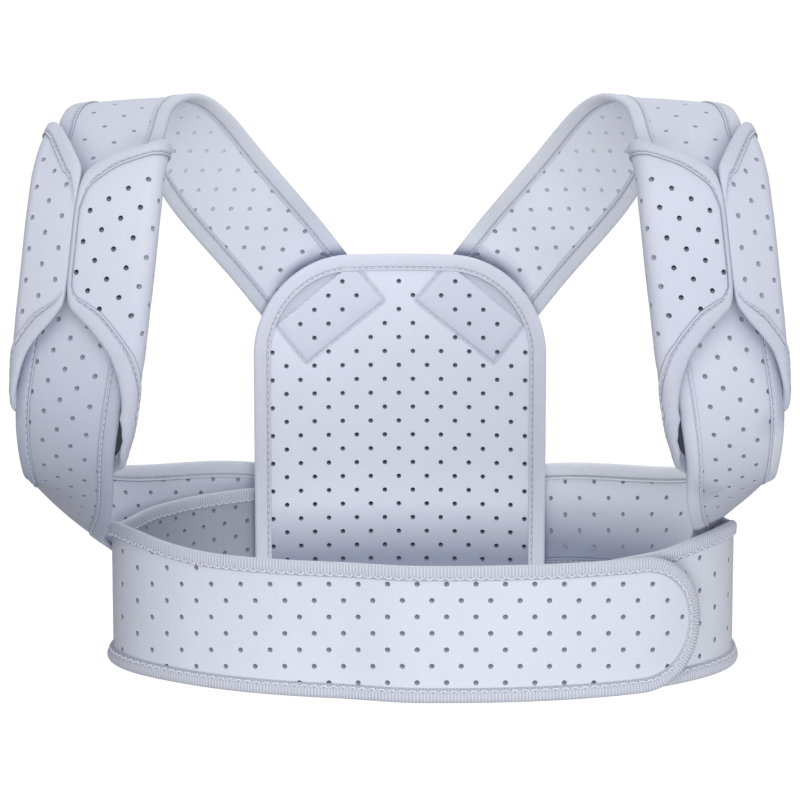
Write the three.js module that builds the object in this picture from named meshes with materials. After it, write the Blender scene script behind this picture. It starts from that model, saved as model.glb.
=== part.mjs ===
// A clavicle brace in the form it has when worn, in millimetres.
// The origin lies midway between the shoulders, level with the underside of the straps' crests.
// The wearer faces -Y, +X is on the right of the picture, and +Z is up.
import * as THREE from 'three';

// Cloth and tape
const WALL = 2.4;
const TAPE = 0.75;
const GAP = 0.3;
const BINDING_WIDTH = 7.2;
const LAYER_STEP = 5.3; // from one bound cloth layer to the next

// Straps
const STRAP_WIDTH = 50.5;
const STRAP_STEPS = 32;

// Shoulder pads, wrapped round the straps
const PAD_HALF_FLAT = 24.4;
const PAD_SEAM_AT = 4; // from the strap's middle towards its outer edge
const PAD_SEAM_EDGE = 1.25; // from the seam line to each flap's cloth
const PAD_SEAM_TAPE = 2; // the tape that shows beside the seam

// Back panel
const PANEL_HALF_WIDTH = 72.2;
const PANEL_BACK = 92.4;
const PANEL_BEND = 380;
const PANEL_TOP = -84.6;
const PANEL_BOTTOM = -252;
const PANEL_TOP_RADIUS = 42;
const PANEL_BOTTOM_RADIUS = 20;
const PANEL_TOP_CROWN = 3;
const PANEL_COLUMNS = 12;
const PANEL_ACROSS = 4;

// Belt
const BELT_TOP = -203.2;
const BELT_HEIGHT = 61.2;
const BELT_TAPE_WIDTH = 5.8;
const BELT_STEPS_LEFT = 21;
const BELT_STEPS_RIGHT = 15;
const TAB_STEPS = 6;
const LEFT_BELT_LENGTH = 506;
const RIGHT_BELT_LENGTH = 380;
const LEFT_LAP = { start: 335, end: 375 }; // where the left belt climbs over the right one
const RIGHT_LAP = { start: 215, end: 270 }; // where the right belt goes in under the tab
const SEAM_GAP = 0.4;

// Hook fastener
const HOOK_LENGTH = 42;
const HOOK_HEIGHT = 34;
const HOOK_THICKNESS = 1.5;
const HOOK_FROM_TIP = 20;

// Plan of the body inside the belt, from the back's middle round by the left
const TORSO_PLAN = [
  // x, y
  [0, 98],
  [-40, 97],
  [-73, 92],
  [-93, 79],
  [-110, 61],
  [-125, 34],
  [-133.4, 8],
  [-134.4, -14],
  [-126.2, -34],
  [-108.6, -51],
  [-82, -68],
  [-50, -80],
  [9, -88],
  [60, -85],
  [100, -74],
  [134, -52],
  [150, -28],
  [154, 0],
  [149, 28],
  [132, 54],
  [107, 76],
  [73, 92],
  [40, 97],
];

// Each strap from its sewn end to its join with the belt: its outer and inner edge,
// as distance out from the middle plane, back and up, its share of the step between layers,
// and how far its middle bulges out
const STRAP_PATH = [
  // outer edge: out, back, up; inner edge: out, back, up; layer; bulge
  [48, 94, -140, 6, 96.8, -110, 0, 0],
  [68, 92.7, -115.5, 26, 97, -85.5, 0, 0],
  [80, 90.2, -100, 38.5, 95.4, -69, 0, 0.5],
  [92, 81, -84, 51, 83, -52.5, 0, 1.5],
  [113.5, 57, -53, 74.5, 51, -19.5, 0, 2],
  [127, 40, -26.4, 90, 15, -0.4, 0, 2],
  [148, 8, -4.2, 101.5, -20, 0.4, 0, 2],
  [154, -37, -11, 106, -60, -12, 0, 2],
  [160, -68, -30, 109, -88, -28, 0, 2.5],
  [163, -84, -60, 112.5, -103, -58, 0, 3],
  [168, -91, -100, 117, -110, -97, 0, 3],
  [173, -87, -133, 123, -108, -130, 0, 3],
  [172.5, -68, -162, 127.5, -97, -156, 0, 3],
  [173, -38, -170, 132, -68, -184, 0, 2.5],
  [174, 4, -178, 139.6, -18, -205, 0.4, 2],
  [160, 30, -181, 136.4, 16, -224, 1, 1.5],
  [138, 51, -184, 125, 46, -235, 1, 0.5],
  [101, 77.5, -187.5, 101, 77.5, -238, 1, 0],
];
// The rest of each strap follows the belt's layers round to the back's middle
const BAND_ROWS = [
  // round from the back's middle, top, bottom
  [74, -191, -241],
  [56, -194, -244],
  [38, -197, -247],
  [19, -200, -250],
  [0, -203, -253],
];

// The flaps' edges, row by row down the pad: along the strap, and round from the seam line
const PAD_ROWS = [
  // outer flap: along, round; inner flap: along, round
  [236, 30, 247.5, 38],
  [243, 25.5, 253, 33.5],
  [250, 20.5, 260, 27.5],
  [257, 15.5, 266, 21.5],
  [264, 10.5, 271, 14],
  [271, 5, 277, 6.5],
  [279, 1.25, 283, 1.25],
  [308, 1.25, 309, 1.25],
  [335, 1.25, 336, 1.25],
  [340, 4.5, 342, 7.8],
  [345.5, 10.5, 347, 14.5],
  [351, 16, 353, 21.5],
  [358, 19, 362, 28.3],
  [367, 20, 376, 34],
  [375, 22.5, 394, 36.8],
  [380.5, 29, 411, 39],
  [386, 37, 421, 47],
];
// The pad's section down the strap
const PAD_SHAPE = [
  // along the strap, extra half width, radius of the sides, shift towards the outer edge
  [236, 1.9, 5.6, 1.2],
  [262, 1.6, 6.1, 0.9],
  [290, 0.4, 6.5, 0],
  [345, 0.3, 6.5, 0],
  [376, 1, 6.5, -0.6],
  [400, 1.2, 6.5, -1],
  [425, 1.6, 6.5, 0],
];

// Colours as sRGB
const CLOTH = { color: 0xd5d8e8, roughness: 0.92, metalness: 0 };
const BINDING = { color: 0xcdd0e2, roughness: 0.9, metalness: 0 };
const BELT_CLOTH = { color: 0xdde1ee, roughness: 0.92, metalness: 0 };
const BELT_TAPE = { color: 0xcfd3e3, roughness: 0.9, metalness: 0 };
const HOOK = { color: 0xc9cbd6, roughness: 0.8, metalness: 0 };

// Curves

// A natural cubic spline through rows of numbers at the stations given
function spline(at, rows) {
  const last = at.length - 1;
  const width = rows[0].length;
  const bend = rows.map(() => new Array(width).fill(0));
  for (let k = 0; k < width; k += 1) {
    const scale = new Array(last + 1).fill(0);
    const value = new Array(last + 1).fill(0);
    for (let i = 1; i < last; i += 1) {
      const before = at[i] - at[i - 1];
      const after = at[i + 1] - at[i];
      const rise = (rows[i + 1][k] - rows[i][k]) / after - (rows[i][k] - rows[i - 1][k]) / before;
      const pivot = 2 * (before + after) - before * scale[i - 1];
      scale[i] = after / pivot;
      value[i] = (6 * rise - before * value[i - 1]) / pivot;
    }
    for (let i = last - 1; i > 0; i -= 1) {
      bend[i][k] = value[i] - scale[i] * bend[i + 1][k];
    }
  }
  return (t) => {
    let i = 0;
    while (i < last - 1 && t > at[i + 1]) i += 1;
    const step = at[i + 1] - at[i];
    const a = (at[i + 1] - t) / step;
    const b = (t - at[i]) / step;
    return rows[i].map((row, k) => {
      const curve = (a ** 3 - a) * bend[i][k] + (b ** 3 - b) * bend[i + 1][k];
      return a * row + b * rows[i + 1][k] + (curve * step * step) / 6;
    });
  };
}

function chordLengths(points) {
  const along = [0];
  for (let i = 1; i < points.length; i += 1) {
    along.push(along[i - 1] + Math.hypot(...points[i].map((x, k) => x - points[i - 1][k])));
  }
  return along;
}

// The value between table rows, straight from row to row
function between(table, at, column) {
  let i = 0;
  while (i < table.length - 2 && at > table[i + 1][0]) i += 1;
  const share = THREE.MathUtils.clamp((at - table[i][0]) / (table[i + 1][0] - table[i][0]), 0, 1);
  return THREE.MathUtils.lerp(table[i][column], table[i + 1][column], share);
}

const evenly = (from, to, steps) =>
  Array.from({ length: steps + 1 }, (_, i) => from + ((to - from) * i) / steps);

// The torso's plan as a closed curve: distance round from the back's middle gives a point
const torsoCurve = (() => {
  const lap = chordLengths([...TORSO_PLAN, TORSO_PLAN[0]]);
  const round = lap[TORSO_PLAN.length];
  const at = [];
  const rows = [];
  for (const turn of [-1, 0, 1]) {
    TORSO_PLAN.forEach((row, i) => {
      at.push(lap[i] + turn * round);
      rows.push(row);
    });
  }
  return spline(at, rows);
})();

function torsoPoint(u, out, up) {
  const [x, y] = torsoCurve(u);
  const [x0, y0] = torsoCurve(u - 0.5);
  const [x1, y1] = torsoCurve(u + 0.5);
  const tangent = new THREE.Vector2(x1 - x0, y1 - y0).normalize();
  return new THREE.Vector3(x + tangent.y * out, y - tangent.x * out, up);
}

// Surfaces: each takes two flat cloth coordinates and gives the point at the wall's middle

function normalAt(surface, u, v) {
  const h = 0.5;
  const du = surface(u + h, v).sub(surface(u - h, v));
  const dv = surface(u, v + h).sub(surface(u, v - h));
  return du.cross(dv).normalize();
}

function offsetFrom(surface, u, v, out) {
  return surface(u, v).addScaledVector(normalAt(surface, u, v), out);
}

// The strap's middle line, its direction across and its outward normal at a station
function makeStrap(side, layer) {
  const rows = STRAP_PATH.map(([ax, ay, az, bx, by, bz, lap, bulge]) => {
    const shift = (lap * layer * LAYER_STEP) / 2;
    return [(ax + bx) / 2, (ay + by) / 2, (az + bz) / 2, ax - bx, ay - by, az - bz, shift, bulge];
  });
  for (const [round, top, bottom] of BAND_ROWS) {
    const { x, y, z } = torsoPoint(round, LAYER_STEP / 2, (top + bottom) / 2);
    rows.push([-x, y, z, 0, 0, top - bottom, (layer * LAYER_STEP) / 2, 0]);
  }
  const at = chordLengths(rows.map((row) => row.slice(0, 3)));
  const curve = spline(at, rows);
  const frameAt = (s) => {
    const [x, y, z, wx, wy, wz, shift, bulge] = curve(s);
    const [x0, y0, z0] = curve(s - 0.5);
    const [x1, y1, z1] = curve(s + 0.5);
    const along = new THREE.Vector3(x1 - x0, y1 - y0, z1 - z0).normalize();
    const across = new THREE.Vector3(wx, wy, wz).normalize();
    const outward = new THREE.Vector3().crossVectors(along, across).normalize();
    const middle = new THREE.Vector3(x, y, z).addScaledVector(outward, shift);
    return { middle, across, outward, bulge };
  };
  const mirror = new THREE.Vector3(side, 1, 1);
  const surface = (s, q) => {
    const { middle, across, outward, bulge } = frameAt(s);
    const crown = bulge * (1 - (2 * q / STRAP_WIDTH) ** 2);
    return middle.addScaledVector(across, q).addScaledVector(outward, crown).multiply(mirror);
  };
  return { length: at[at.length - 1], frameAt, surface, mirror };
}

// The pad's section at a station: half its flat width, the radius of its sides and its shift
function padShape(s) {
  const [flare, radius, shift] = [1, 2, 3].map((column) => between(PAD_SHAPE, s, column));
  const flat = PAD_HALF_FLAT + flare;
  return { flat, radius, shift, arc: Math.PI * radius, outer: flat + shift - PAD_SEAM_AT };
}

// Distance round the pad's section from the seam, by the outer side and the back
function padRound(s) {
  const { flat, arc } = padShape(s);
  return 4 * flat + 2 * arc;
}

function padSection(s, g) {
  const { flat, radius, shift, arc, outer } = padShape(s);
  let rest = g - outer;
  if (rest < 0) return [shift + flat + rest, radius];
  if (rest < arc) {
    const turn = rest / radius;
    return [shift + flat + radius * Math.sin(turn), radius * Math.cos(turn)];
  }
  rest -= arc;
  if (rest < 2 * flat) return [shift + flat - rest, -radius];
  rest -= 2 * flat;
  if (rest < arc) {
    const turn = rest / radius;
    return [shift - flat - radius * Math.sin(turn), -radius * Math.cos(turn)];
  }
  return [shift - flat + rest - arc, radius];
}

function makePadSurface(strap) {
  return (s, g) => {
    const { middle, across, outward, bulge } = strap.frameAt(s);
    const [q, lift] = padSection(s, g);
    const crown = bulge * Math.max(1 - (2 * q / STRAP_WIDTH) ** 2, 0);
    return middle
      .addScaledVector(across, q)
      .addScaledVector(outward, lift + crown)
      .multiply(strap.mirror);
  };
}

// Solids

// A closed mesh from its points and triangles, turned so that it faces out
function closedGeometry(points, triangles) {
  const volume = triangles.reduce((sum, [a, b, c]) => {
    const cross = new THREE.Vector3().crossVectors(points[b], points[c]);
    return sum + points[a].dot(cross);
  }, 0);
  const facing = volume < 0 ? triangles.map(([a, b, c]) => [a, c, b]) : triangles;
  const geometry = new THREE.BufferGeometry();
  const flat = points.flatMap((p) => [p.x, p.y, p.z]);
  geometry.setAttribute('position', new THREE.Float32BufferAttribute(flat, 3));
  geometry.setIndex(facing.flat());
  geometry.computeVertexNormals();
  return geometry;
}

// A four-sided facet, cut from its first corner to its third or from its second to its fourth
function quad(triangles, a, b, c, d, fromFirst = true) {
  if (fromFirst) triangles.push([a, b, c], [a, c, d]);
  else triangles.push([a, b, d], [b, c, d]);
}

// A cloth wall over rows of flat points; facing is -1 on a mirrored surface, so that both sides are cut alike
function clothWall(surface, rows, thickness = WALL, facing = 1) {
  const points = [];
  const triangles = [];
  const columns = rows[0].length;
  const sheet = rows.length * columns;
  const flat = [...rows.flat(), ...rows.flat()];
  flat.forEach(([u, v], i) => {
    const out = i < sheet ? thickness / 2 : -thickness / 2;
    points.push(offsetFrom(surface, u, v, out * facing));
  });
  const index = (i, j) => i * columns + j;
  const rim = [];
  for (let i = 0; i + 1 < rows.length; i += 1) {
    for (let j = 0; j + 1 < columns; j += 1) {
      const [a, b, c, d] = [index(i, j), index(i + 1, j), index(i + 1, j + 1), index(i, j + 1)];
      quad(triangles, a, b, c, d);
      quad(triangles, sheet + a, sheet + d, sheet + c, sheet + b);
    }
    rim.push([index(i + 1, 0), index(i, 0)], [index(i, columns - 1), index(i + 1, columns - 1)]);
  }
  for (let j = 0; j + 1 < columns; j += 1) {
    const end = rows.length - 1;
    rim.push([index(0, j), index(0, j + 1)], [index(end, j + 1), index(end, j)]);
  }
  for (const [a, b] of rim) quad(triangles, a, b, sheet + b, sheet + a);
  return closedGeometry(points, triangles);
}

// The folded tape's section: distance in from the cloth's edge, and out from its middle
function tapeSection(legs) {
  const inside = WALL / 2 + GAP;
  const outside = inside + TAPE;
  const lip = -GAP - TAPE;
  const inwards = legs.slice().sort((a, b) => a - b);
  const outwards = inwards.slice().reverse();
  return [
    ...outwards.map((deep) => [deep, outside]),
    [lip, outside],
    [lip, -outside],
    ...inwards.map((deep) => [deep, -outside]),
    ...outwards.map((deep) => [deep, -inside]),
    [-GAP, -inside],
    [-GAP, inside],
    ...inwards.map((deep) => [deep, inside]),
  ];
}

// The direction into the cloth at each point of a path that has the cloth on its left
function inwardAlong(path, closed) {
  const count = path.length;
  return path.map(([u, v], i) => {
    const [u0, v0] = path[closed ? (i + count - 1) % count : Math.max(i - 1, 0)];
    const [u1, v1] = path[closed ? (i + 1) % count : Math.min(i + 1, count - 1)];
    const before = new THREE.Vector2(u - u0, v - v0).normalize();
    const after = new THREE.Vector2(u1 - u, v1 - v).normalize();
    const tangent = before.clone().add(after).normalize();
    const mitre = 1 / Math.max(Math.abs(tangent.dot(after.length() ? after : before)), 0.7);
    return [-tangent.y * mitre, tangent.x * mitre];
  });
}

// A tape folded over the cloth's edge, along a path of flat points with the cloth on its left
function foldedTape(surface, path, closed, legsAt = () => [BINDING_WIDTH], facing = 1) {
  const points = [];
  const triangles = [];
  const inward = inwardAlong(path, closed);
  path.forEach(([u, v], i) => {
    const [du, dv] = inward[i];
    for (const [deep, out] of tapeSection(legsAt(i))) {
      points.push(offsetFrom(surface, u + du * deep, v + dv * deep, out * facing));
    }
  });
  const section = tapeSection(legsAt(0));
  const corners = section.length;
  const steps = closed ? path.length : path.length - 1;
  for (let i = 0; i < steps; i += 1) {
    const here = i * corners;
    const next = ((i + 1) % path.length) * corners;
    for (let k = 0; k < corners; k += 1) {
      const m = (k + 1) % corners;
      const deepens = section[m][0] >= section[k][0];
      quad(triangles, here + k, here + m, next + m, next + k, deepens);
    }
  }
  if (!closed) {
    const outline = section.map(([x, y]) => new THREE.Vector2(x, y));
    const end = (path.length - 1) * corners;
    for (const [a, b, c] of THREE.ShapeUtils.triangulateShape(outline, [])) {
      triangles.push([a, c, b], [end + a, end + b, end + c]);
    }
  }
  return closedGeometry(points, triangles);
}

const brace = new THREE.Group();
brace.name = 'clavicle_brace';

function addPiece(name, geometry, look) {
  const mesh = new THREE.Mesh(geometry, new THREE.MeshStandardMaterial(look));
  mesh.name = name;
  brace.add(mesh);
}

// Straps and pads

const padEdges = PAD_ROWS.map(([s0, open0, s1, open1]) => [
  [s0, open0],
  [s1, padRound(s1) - open1],
]);
const besideSeam = (i) => PAD_ROWS[i][1] <= PAD_SEAM_EDGE;
const padLegs = (i) => (besideSeam(i) ? PAD_SEAM_TAPE : BINDING_WIDTH);

// Places round the pad's section where its cloth bends
function padBends(s) {
  const { flat, arc, outer } = padShape(s);
  const inner = outer + arc + 2 * flat;
  return [...evenly(outer, outer + arc, 3), outer + arc + flat, ...evenly(inner, inner + arc, 3)];
}

// Each row: the outer flap's edge and the end of its tape, the bends, and the same on the inner flap
function padGrid() {
  const outerIn = inwardAlong(padEdges.map(([outer]) => outer), false);
  const innerIn = inwardAlong(padEdges.map(([, inner]) => inner).reverse(), false).reverse();
  return padEdges.map(([outer, inner], i) => {
    const legs = [0, padLegs(i) / 2, padLegs(i)];
    const into = (edge, way) => legs.map((deep) => [edge[0] + way[0] * deep, edge[1] + way[1] * deep]);
    const first = into(outer, outerIn[i]);
    const last = into(inner, innerIn[i]).reverse();
    const [low, high] = [first[2], last[0]];
    const bends = padBends((low[0] + high[0]) / 2);
    const least = 0.6;
    const middle = bends.map((g, j) => {
      const round = Math.min(Math.max(g, low[1] + least * (j + 1)), high[1] - least * (bends.length - j));
      const share = (round - low[1]) / (high[1] - low[1]);
      return [THREE.MathUtils.lerp(low[0], high[0], share), round];
    });
    return [...first, ...middle, ...last];
  });
}

function addStrapAndPad(name, side, layer) {
  const strap = makeStrap(side, layer);
  const stations = evenly(0, strap.length - SEAM_GAP / 2, STRAP_STEPS);
  const half = STRAP_WIDTH / 2;
  const taped = half - BINDING_WIDTH;
  const across = [-half, -taped, 0, taped, half];
  const rows = stations.map((s) => across.map((q) => [s, q]));
  addPiece(`${name}_strap`, clothWall(strap.surface, rows), CLOTH);
  const outer = stations.map((s) => [s, half]).reverse();
  const inner = stations.map((s) => [s, -half]);
  addPiece(`${name}_strap_outer_binding`, foldedTape(strap.surface, outer, false), BINDING);
  addPiece(`${name}_strap_inner_binding`, foldedTape(strap.surface, inner, false), BINDING);

  const pad = makePadSurface(strap);
  addPiece(`${name}_shoulder_pad`, clothWall(pad, padGrid(), WALL, -side), CLOTH);
  const legs = (i) => [padLegs(i) / 2, padLegs(i)];
  const upwards = (i) => legs(PAD_ROWS.length - 1 - i);
  const outerFlap = padEdges.map(([edge]) => edge);
  const innerFlap = padEdges.map(([, edge]) => edge).reverse();
  const outerTape = foldedTape(pad, outerFlap, false, legs, -side);
  const innerTape = foldedTape(pad, innerFlap, false, upwards, -side);
  addPiece(`${name}_shoulder_pad_outer_binding`, outerTape, BINDING);
  addPiece(`${name}_shoulder_pad_inner_binding`, innerTape, BINDING);
}

addStrapAndPad('left', -1, 1);
addStrapAndPad('right', 1, -1);

// Back panel, just inside the inner layer of the belt

const panelSurface = (u, z) => {
  const turn = u / PANEL_BEND;
  const drop = PANEL_BEND * (1 - Math.cos(turn));
  return new THREE.Vector3(-PANEL_BEND * Math.sin(turn), PANEL_BACK - drop, z);
};

function cornerDrop(u, radius) {
  const past = Math.abs(u) - (PANEL_HALF_WIDTH - radius);
  return past > 0 ? radius - Math.sqrt(Math.max(radius * radius - past * past, 0)) : 0;
}

function panelSpan(u) {
  const crown = PANEL_TOP_CROWN * (u / PANEL_HALF_WIDTH) ** 2;
  const low = PANEL_BOTTOM + cornerDrop(u, PANEL_BOTTOM_RADIUS);
  return [low, PANEL_TOP - crown - cornerDrop(u, PANEL_TOP_RADIUS)];
}

// Columns closer together towards the rounded corners
const panelColumns = evenly(-1, 1, PANEL_COLUMNS).map((t) => PANEL_HALF_WIDTH * Math.sin((t * Math.PI) / 2));
const panelSides = (edge) => evenly(...panelSpan(edge), 5).slice(1, -1).map((z) => [edge, z]);
const panelOutline = [
  ...panelColumns.map((u) => [u, panelSpan(u)[0]]),
  ...panelSides(PANEL_HALF_WIDTH),
  ...panelColumns.map((u) => [u, panelSpan(u)[1]]).reverse(),
  ...panelSides(-PANEL_HALF_WIDTH).reverse(),
];
const panelRows = panelColumns.map((u) => evenly(...panelSpan(u), PANEL_ACROSS).map((z) => [u, z]));
addPiece('back_panel', clothWall(panelSurface, panelRows), CLOTH);
addPiece('back_panel_binding', foldedTape(panelSurface, panelOutline, true), BINDING);

// Belt

const eased = (at, { start, end }) => THREE.MathUtils.smoothstep(at, start, end);
const leftBelt = (u, z) => torsoPoint(u, LAYER_STEP * eased(u, LEFT_LAP), z);
const rightBelt = (u, z) => torsoPoint(-u, LAYER_STEP * (1 - eased(u, RIGHT_LAP)), z);

const beltMiddle = BELT_TOP - BELT_HEIGHT / 2;
const tabStart = LEFT_BELT_LENGTH - BELT_HEIGHT / 2;
const leftBeltSpan = (u) => {
  const half = BELT_HEIGHT / 2;
  const past = Math.max(u - tabStart, 0);
  const reach = Math.sqrt(Math.max(half * half - past * past, 0));
  return [beltMiddle - reach, beltMiddle + reach];
};
const rightBeltSpan = () => [BELT_TOP - BELT_HEIGHT, BELT_TOP];

const tabTurn = evenly(0, 0.94, TAB_STEPS).map((t) => Math.sin((t * Math.PI) / 2));
const tabColumns = tabTurn.slice(1).map((t) => tabStart + (BELT_HEIGHT / 2) * t);
const leftColumns = [...evenly(SEAM_GAP / 2, tabStart, BELT_STEPS_LEFT), ...tabColumns];
const rightColumns = evenly(SEAM_GAP / 2, RIGHT_BELT_LENGTH, BELT_STEPS_RIGHT);

// Columns from edge to edge, with a point where each tape ends
function beltRows(columns, span) {
  return columns.map((u) => {
    const [low, high] = span(u);
    const taped = Math.min(BELT_TAPE_WIDTH, (high - low) / 3);
    return [low, low + taped, high - taped, high].map((z) => [u, z]);
  });
}

addPiece('left_belt', clothWall(leftBelt, beltRows(leftColumns, leftBeltSpan)), BELT_CLOTH);
addPiece('right_belt', clothWall(rightBelt, beltRows(rightColumns, rightBeltSpan)), BELT_CLOTH);
const leftEdge = [
  ...leftColumns.map((u) => [u, leftBeltSpan(u)[0]]),
  ...leftColumns.map((u) => [u, leftBeltSpan(u)[1]]).reverse(),
];
const beltLegs = () => [BELT_TAPE_WIDTH];
addPiece('left_belt_binding', foldedTape(leftBelt, leftEdge, false, beltLegs), BELT_TAPE);
const rightBottom = rightColumns.map((u) => [u, rightBeltSpan(u)[0]]);
const rightTop = rightColumns.map((u) => [u, rightBeltSpan(u)[1]]).reverse();
addPiece('right_belt_top_binding', foldedTape(rightBelt, rightTop, false, beltLegs), BELT_TAPE);
addPiece('right_belt_bottom_binding', foldedTape(rightBelt, rightBottom, false, beltLegs), BELT_TAPE);

// Hook fastener between the tab and the belt under it

const hookEnd = LEFT_BELT_LENGTH - HOOK_FROM_TIP;
const hookColumns = evenly(hookEnd - HOOK_LENGTH, hookEnd, 4);
const hookSurface = (u, z) => torsoPoint(u, LAYER_STEP / 2, z);
const hookEnds = [beltMiddle - HOOK_HEIGHT / 2, beltMiddle + HOOK_HEIGHT / 2];
const hookRows = hookColumns.map((u) => hookEnds.map((z) => [u, z]));
addPiece('hook_fastener', clothWall(hookSurface, hookRows, HOOK_THICKNESS), HOOK);

export default brace;
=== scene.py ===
"""A clavicle brace of perforated cloth in its worn form: straps, shoulder pads, back panel and belt."""
import math

import bpy
import numpy as np
from bpy.props import FloatProperty, FloatVectorProperty, PointerProperty
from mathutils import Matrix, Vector
from mathutils.geometry import delaunay_2d_cdt


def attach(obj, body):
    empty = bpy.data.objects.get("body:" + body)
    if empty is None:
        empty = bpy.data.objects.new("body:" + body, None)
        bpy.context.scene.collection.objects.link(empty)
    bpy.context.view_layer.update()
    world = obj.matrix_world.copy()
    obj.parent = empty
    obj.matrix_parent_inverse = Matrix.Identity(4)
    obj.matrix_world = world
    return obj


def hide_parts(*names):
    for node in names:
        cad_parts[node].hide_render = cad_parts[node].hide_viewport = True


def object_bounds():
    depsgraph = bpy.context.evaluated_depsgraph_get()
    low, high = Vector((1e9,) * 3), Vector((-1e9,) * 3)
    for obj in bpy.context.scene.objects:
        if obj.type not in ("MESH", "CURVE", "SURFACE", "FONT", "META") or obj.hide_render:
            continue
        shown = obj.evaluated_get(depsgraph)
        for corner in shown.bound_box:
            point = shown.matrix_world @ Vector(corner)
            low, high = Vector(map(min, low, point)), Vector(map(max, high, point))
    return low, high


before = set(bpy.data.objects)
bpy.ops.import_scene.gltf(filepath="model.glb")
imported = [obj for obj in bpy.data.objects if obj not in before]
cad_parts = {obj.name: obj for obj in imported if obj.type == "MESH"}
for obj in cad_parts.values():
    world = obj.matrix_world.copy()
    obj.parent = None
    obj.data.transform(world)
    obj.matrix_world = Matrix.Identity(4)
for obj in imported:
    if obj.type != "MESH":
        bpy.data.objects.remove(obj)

bl_info = {
    "name": "Clavicle brace",
    "version": (1, 0, 0),
    "blender": (4, 5, 0),
    "location": "View3D > Sidebar > Brace",
    "description": "Builds a perforated clavicle brace piece by piece on its solid frame",
    "category": "Add Mesh",
}

CAD_BOX = [list(corner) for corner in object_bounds()]
BODY = "root"
MM = 0.001
TURN = 2 * math.pi

# Straps, in millimetres as the frame has them
STRAP_WIDTH = 50.5
SEAM_GAP = 0.02
STRAP_FRONT = 300
STRAP_FLARE = np.array([
    # along the strap, extra share of its half width on the outer side, on the inner side
    [180, 0.0, 0.0],
    [205, 0.05, 0.0],
    [222, 0.13, 0.0],
    [236, 0.15, 0.0],
    [250, 0.08, 0.0],
    [266, 0.0, 0.0],
    [530, 0.0, 0.0],
    [575, 0.0, 0.22],
])
STRAP_SHADE = np.array([
    # along the strap, shade on the left, shade on the right
    [40, 0.32, 0.17],
    [100, 0.17, 0.08],
    [150, 0.0, 0.0],
    [330, 0.05, 0.0],
    [360, 0.2, 0.02],
    [390, 0.36, 0.06],
    [420, 0.48, 0.12],
    [470, 0.48, 0.2],
    [505, 0.36, 0.02],
])
STRAP_TAPE_SHADE = np.array([
    # along the strap, painted shade on the left one's tapes, on the right one's; it darkens their light
    # colour on the front lengths, the left one's more
    [150, 0.2, 0.2],
    [215, 0.485, 0.45],
    [310, 0.485, 0.4],
    [480, 0.485, 0.34],
    [520, 0.0, 0.0],
])
WING_SHADE = {
    # side: shade at the bottom of the band round the back
    -1: 0.36,
    1: 0.86,
}
# the band's shade starts at this height and is full this far below it
WING_SHADE_FROM = -203
WING_SHADE_FALL = 27
# shade beside the pads' flaps: its depth, where it is full and how it fades
FLAP_SHADE = 0.5
FLAP_SHADE_REACH = 4
FLAP_SHADE_FADE = 3.5
LAYER_STEP = 5.3
STRAP_PATH = np.array([
    # outer edge: out, back, up; inner edge: out, back, up; layer; bulge
    [48, 94, -140, 6, 96.8, -110, 0, 0],
    [68, 92.7, -115.5, 26, 97, -85.5, 0, 0],
    [80, 90.2, -100, 38.5, 95.4, -69, 0, 0.5],
    [92, 81, -84, 51, 83, -52.5, 0, 1.5],
    [113.5, 57, -53, 74.5, 51, -19.5, 0, 2],
    [127, 40, -26.4, 90, 15, -0.4, 0, 2],
    [148, 8, -4.2, 101.5, -20, 0.4, 0, 2],
    [154, -37, -11, 106, -60, -12, 0, 2],
    [160, -68, -30, 109, -88, -28, 0, 2.5],
    [163, -84, -60, 112.5, -103, -58, 0, 3],
    [168, -91, -100, 117, -110, -97, 0, 3],
    [173, -87, -133, 123, -108, -130, 0, 3],
    [172.5, -68, -162, 127.5, -97, -156, 0, 3],
    [173, -38, -170, 132, -68, -184, 0, 2.5],
    [174, 4, -178, 139.6, -18, -205, 0.4, 2],
    [160, 30, -181, 136.4, 16, -224, 1, 1.5],
    [138, 51, -184, 125, 46, -235, 1, 0.5],
    [101, 77.5, -187.5, 101, 77.5, -238, 1, 0],
])
LEFT_TURN_AT = 15
LEFT_TURN = np.array([
    # the two rows from there on, as the left strap has them
    [160, 30, -180, 136.4, 16, -214, 1, 1.5],
    [138, 51, -183, 125, 46, -232, 1, 0.5],
])
BAND_ROWS = np.array([
    # round from the back's middle, top, bottom
    [74, -191, -241],
    [56, -194, -244],
    [38, -197, -247],
    [19, -200, -250],
    [0, -203, -253],
])

# Shoulder pads
PAD_HALF_FLAT = 24.4
PAD_SEAM_AT = 4
PAD_FRONT = 106.5
PAD_SEAM_EDGES = (0.5, 1.1)
PAD_ROWS = np.array([
    # outer flap: along, round; inner flap: along, round
    [247.5, 45, 252.5, 54],
    [245.5, 38, 250.5, 46.5],
    [245.5, 31.5, 250.5, 40],
    [247.5, 25.5, 252.5, 35.8],
    [250.5, 21.5, 256.5, 32.6],
    [257, 17, 263, 28.2],
    [263.5, 12.5, 267.5, 21.5],
    [270, 8, 272, 13.25],
    [275.5, 4, 278.5, 5.25],
    [281, 1.25, 284, 1.25],
    [308, 1.25, 309, 1.25],
    [335, 1.25, 336, 1.25],
    [341.5, 5.5, 341, 7],
    [348, 12.2, 346.5, 13.5],
    [355.5, 18.2, 353.5, 20.25],
    [362, 20.2, 362, 26.75],
    [369, 21.6, 374.5, 32.25],
    [375, 22.6, 387, 34.4],
    [381, 23.6, 402, 35.4],
    [386, 26, 416, 37],
    [389, 30.5, 427, 42],
    [391, 37, 434, 50],
])
PAD_SHADE = np.array([
    # along the strap, shade on the left pad, shade on the right one
    [300, 0.0, 0.06],
    [345, 0.1, 0.12],
    [385, 0.2, 0.17],
    [425, 0.34, 0.26],
])
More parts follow.
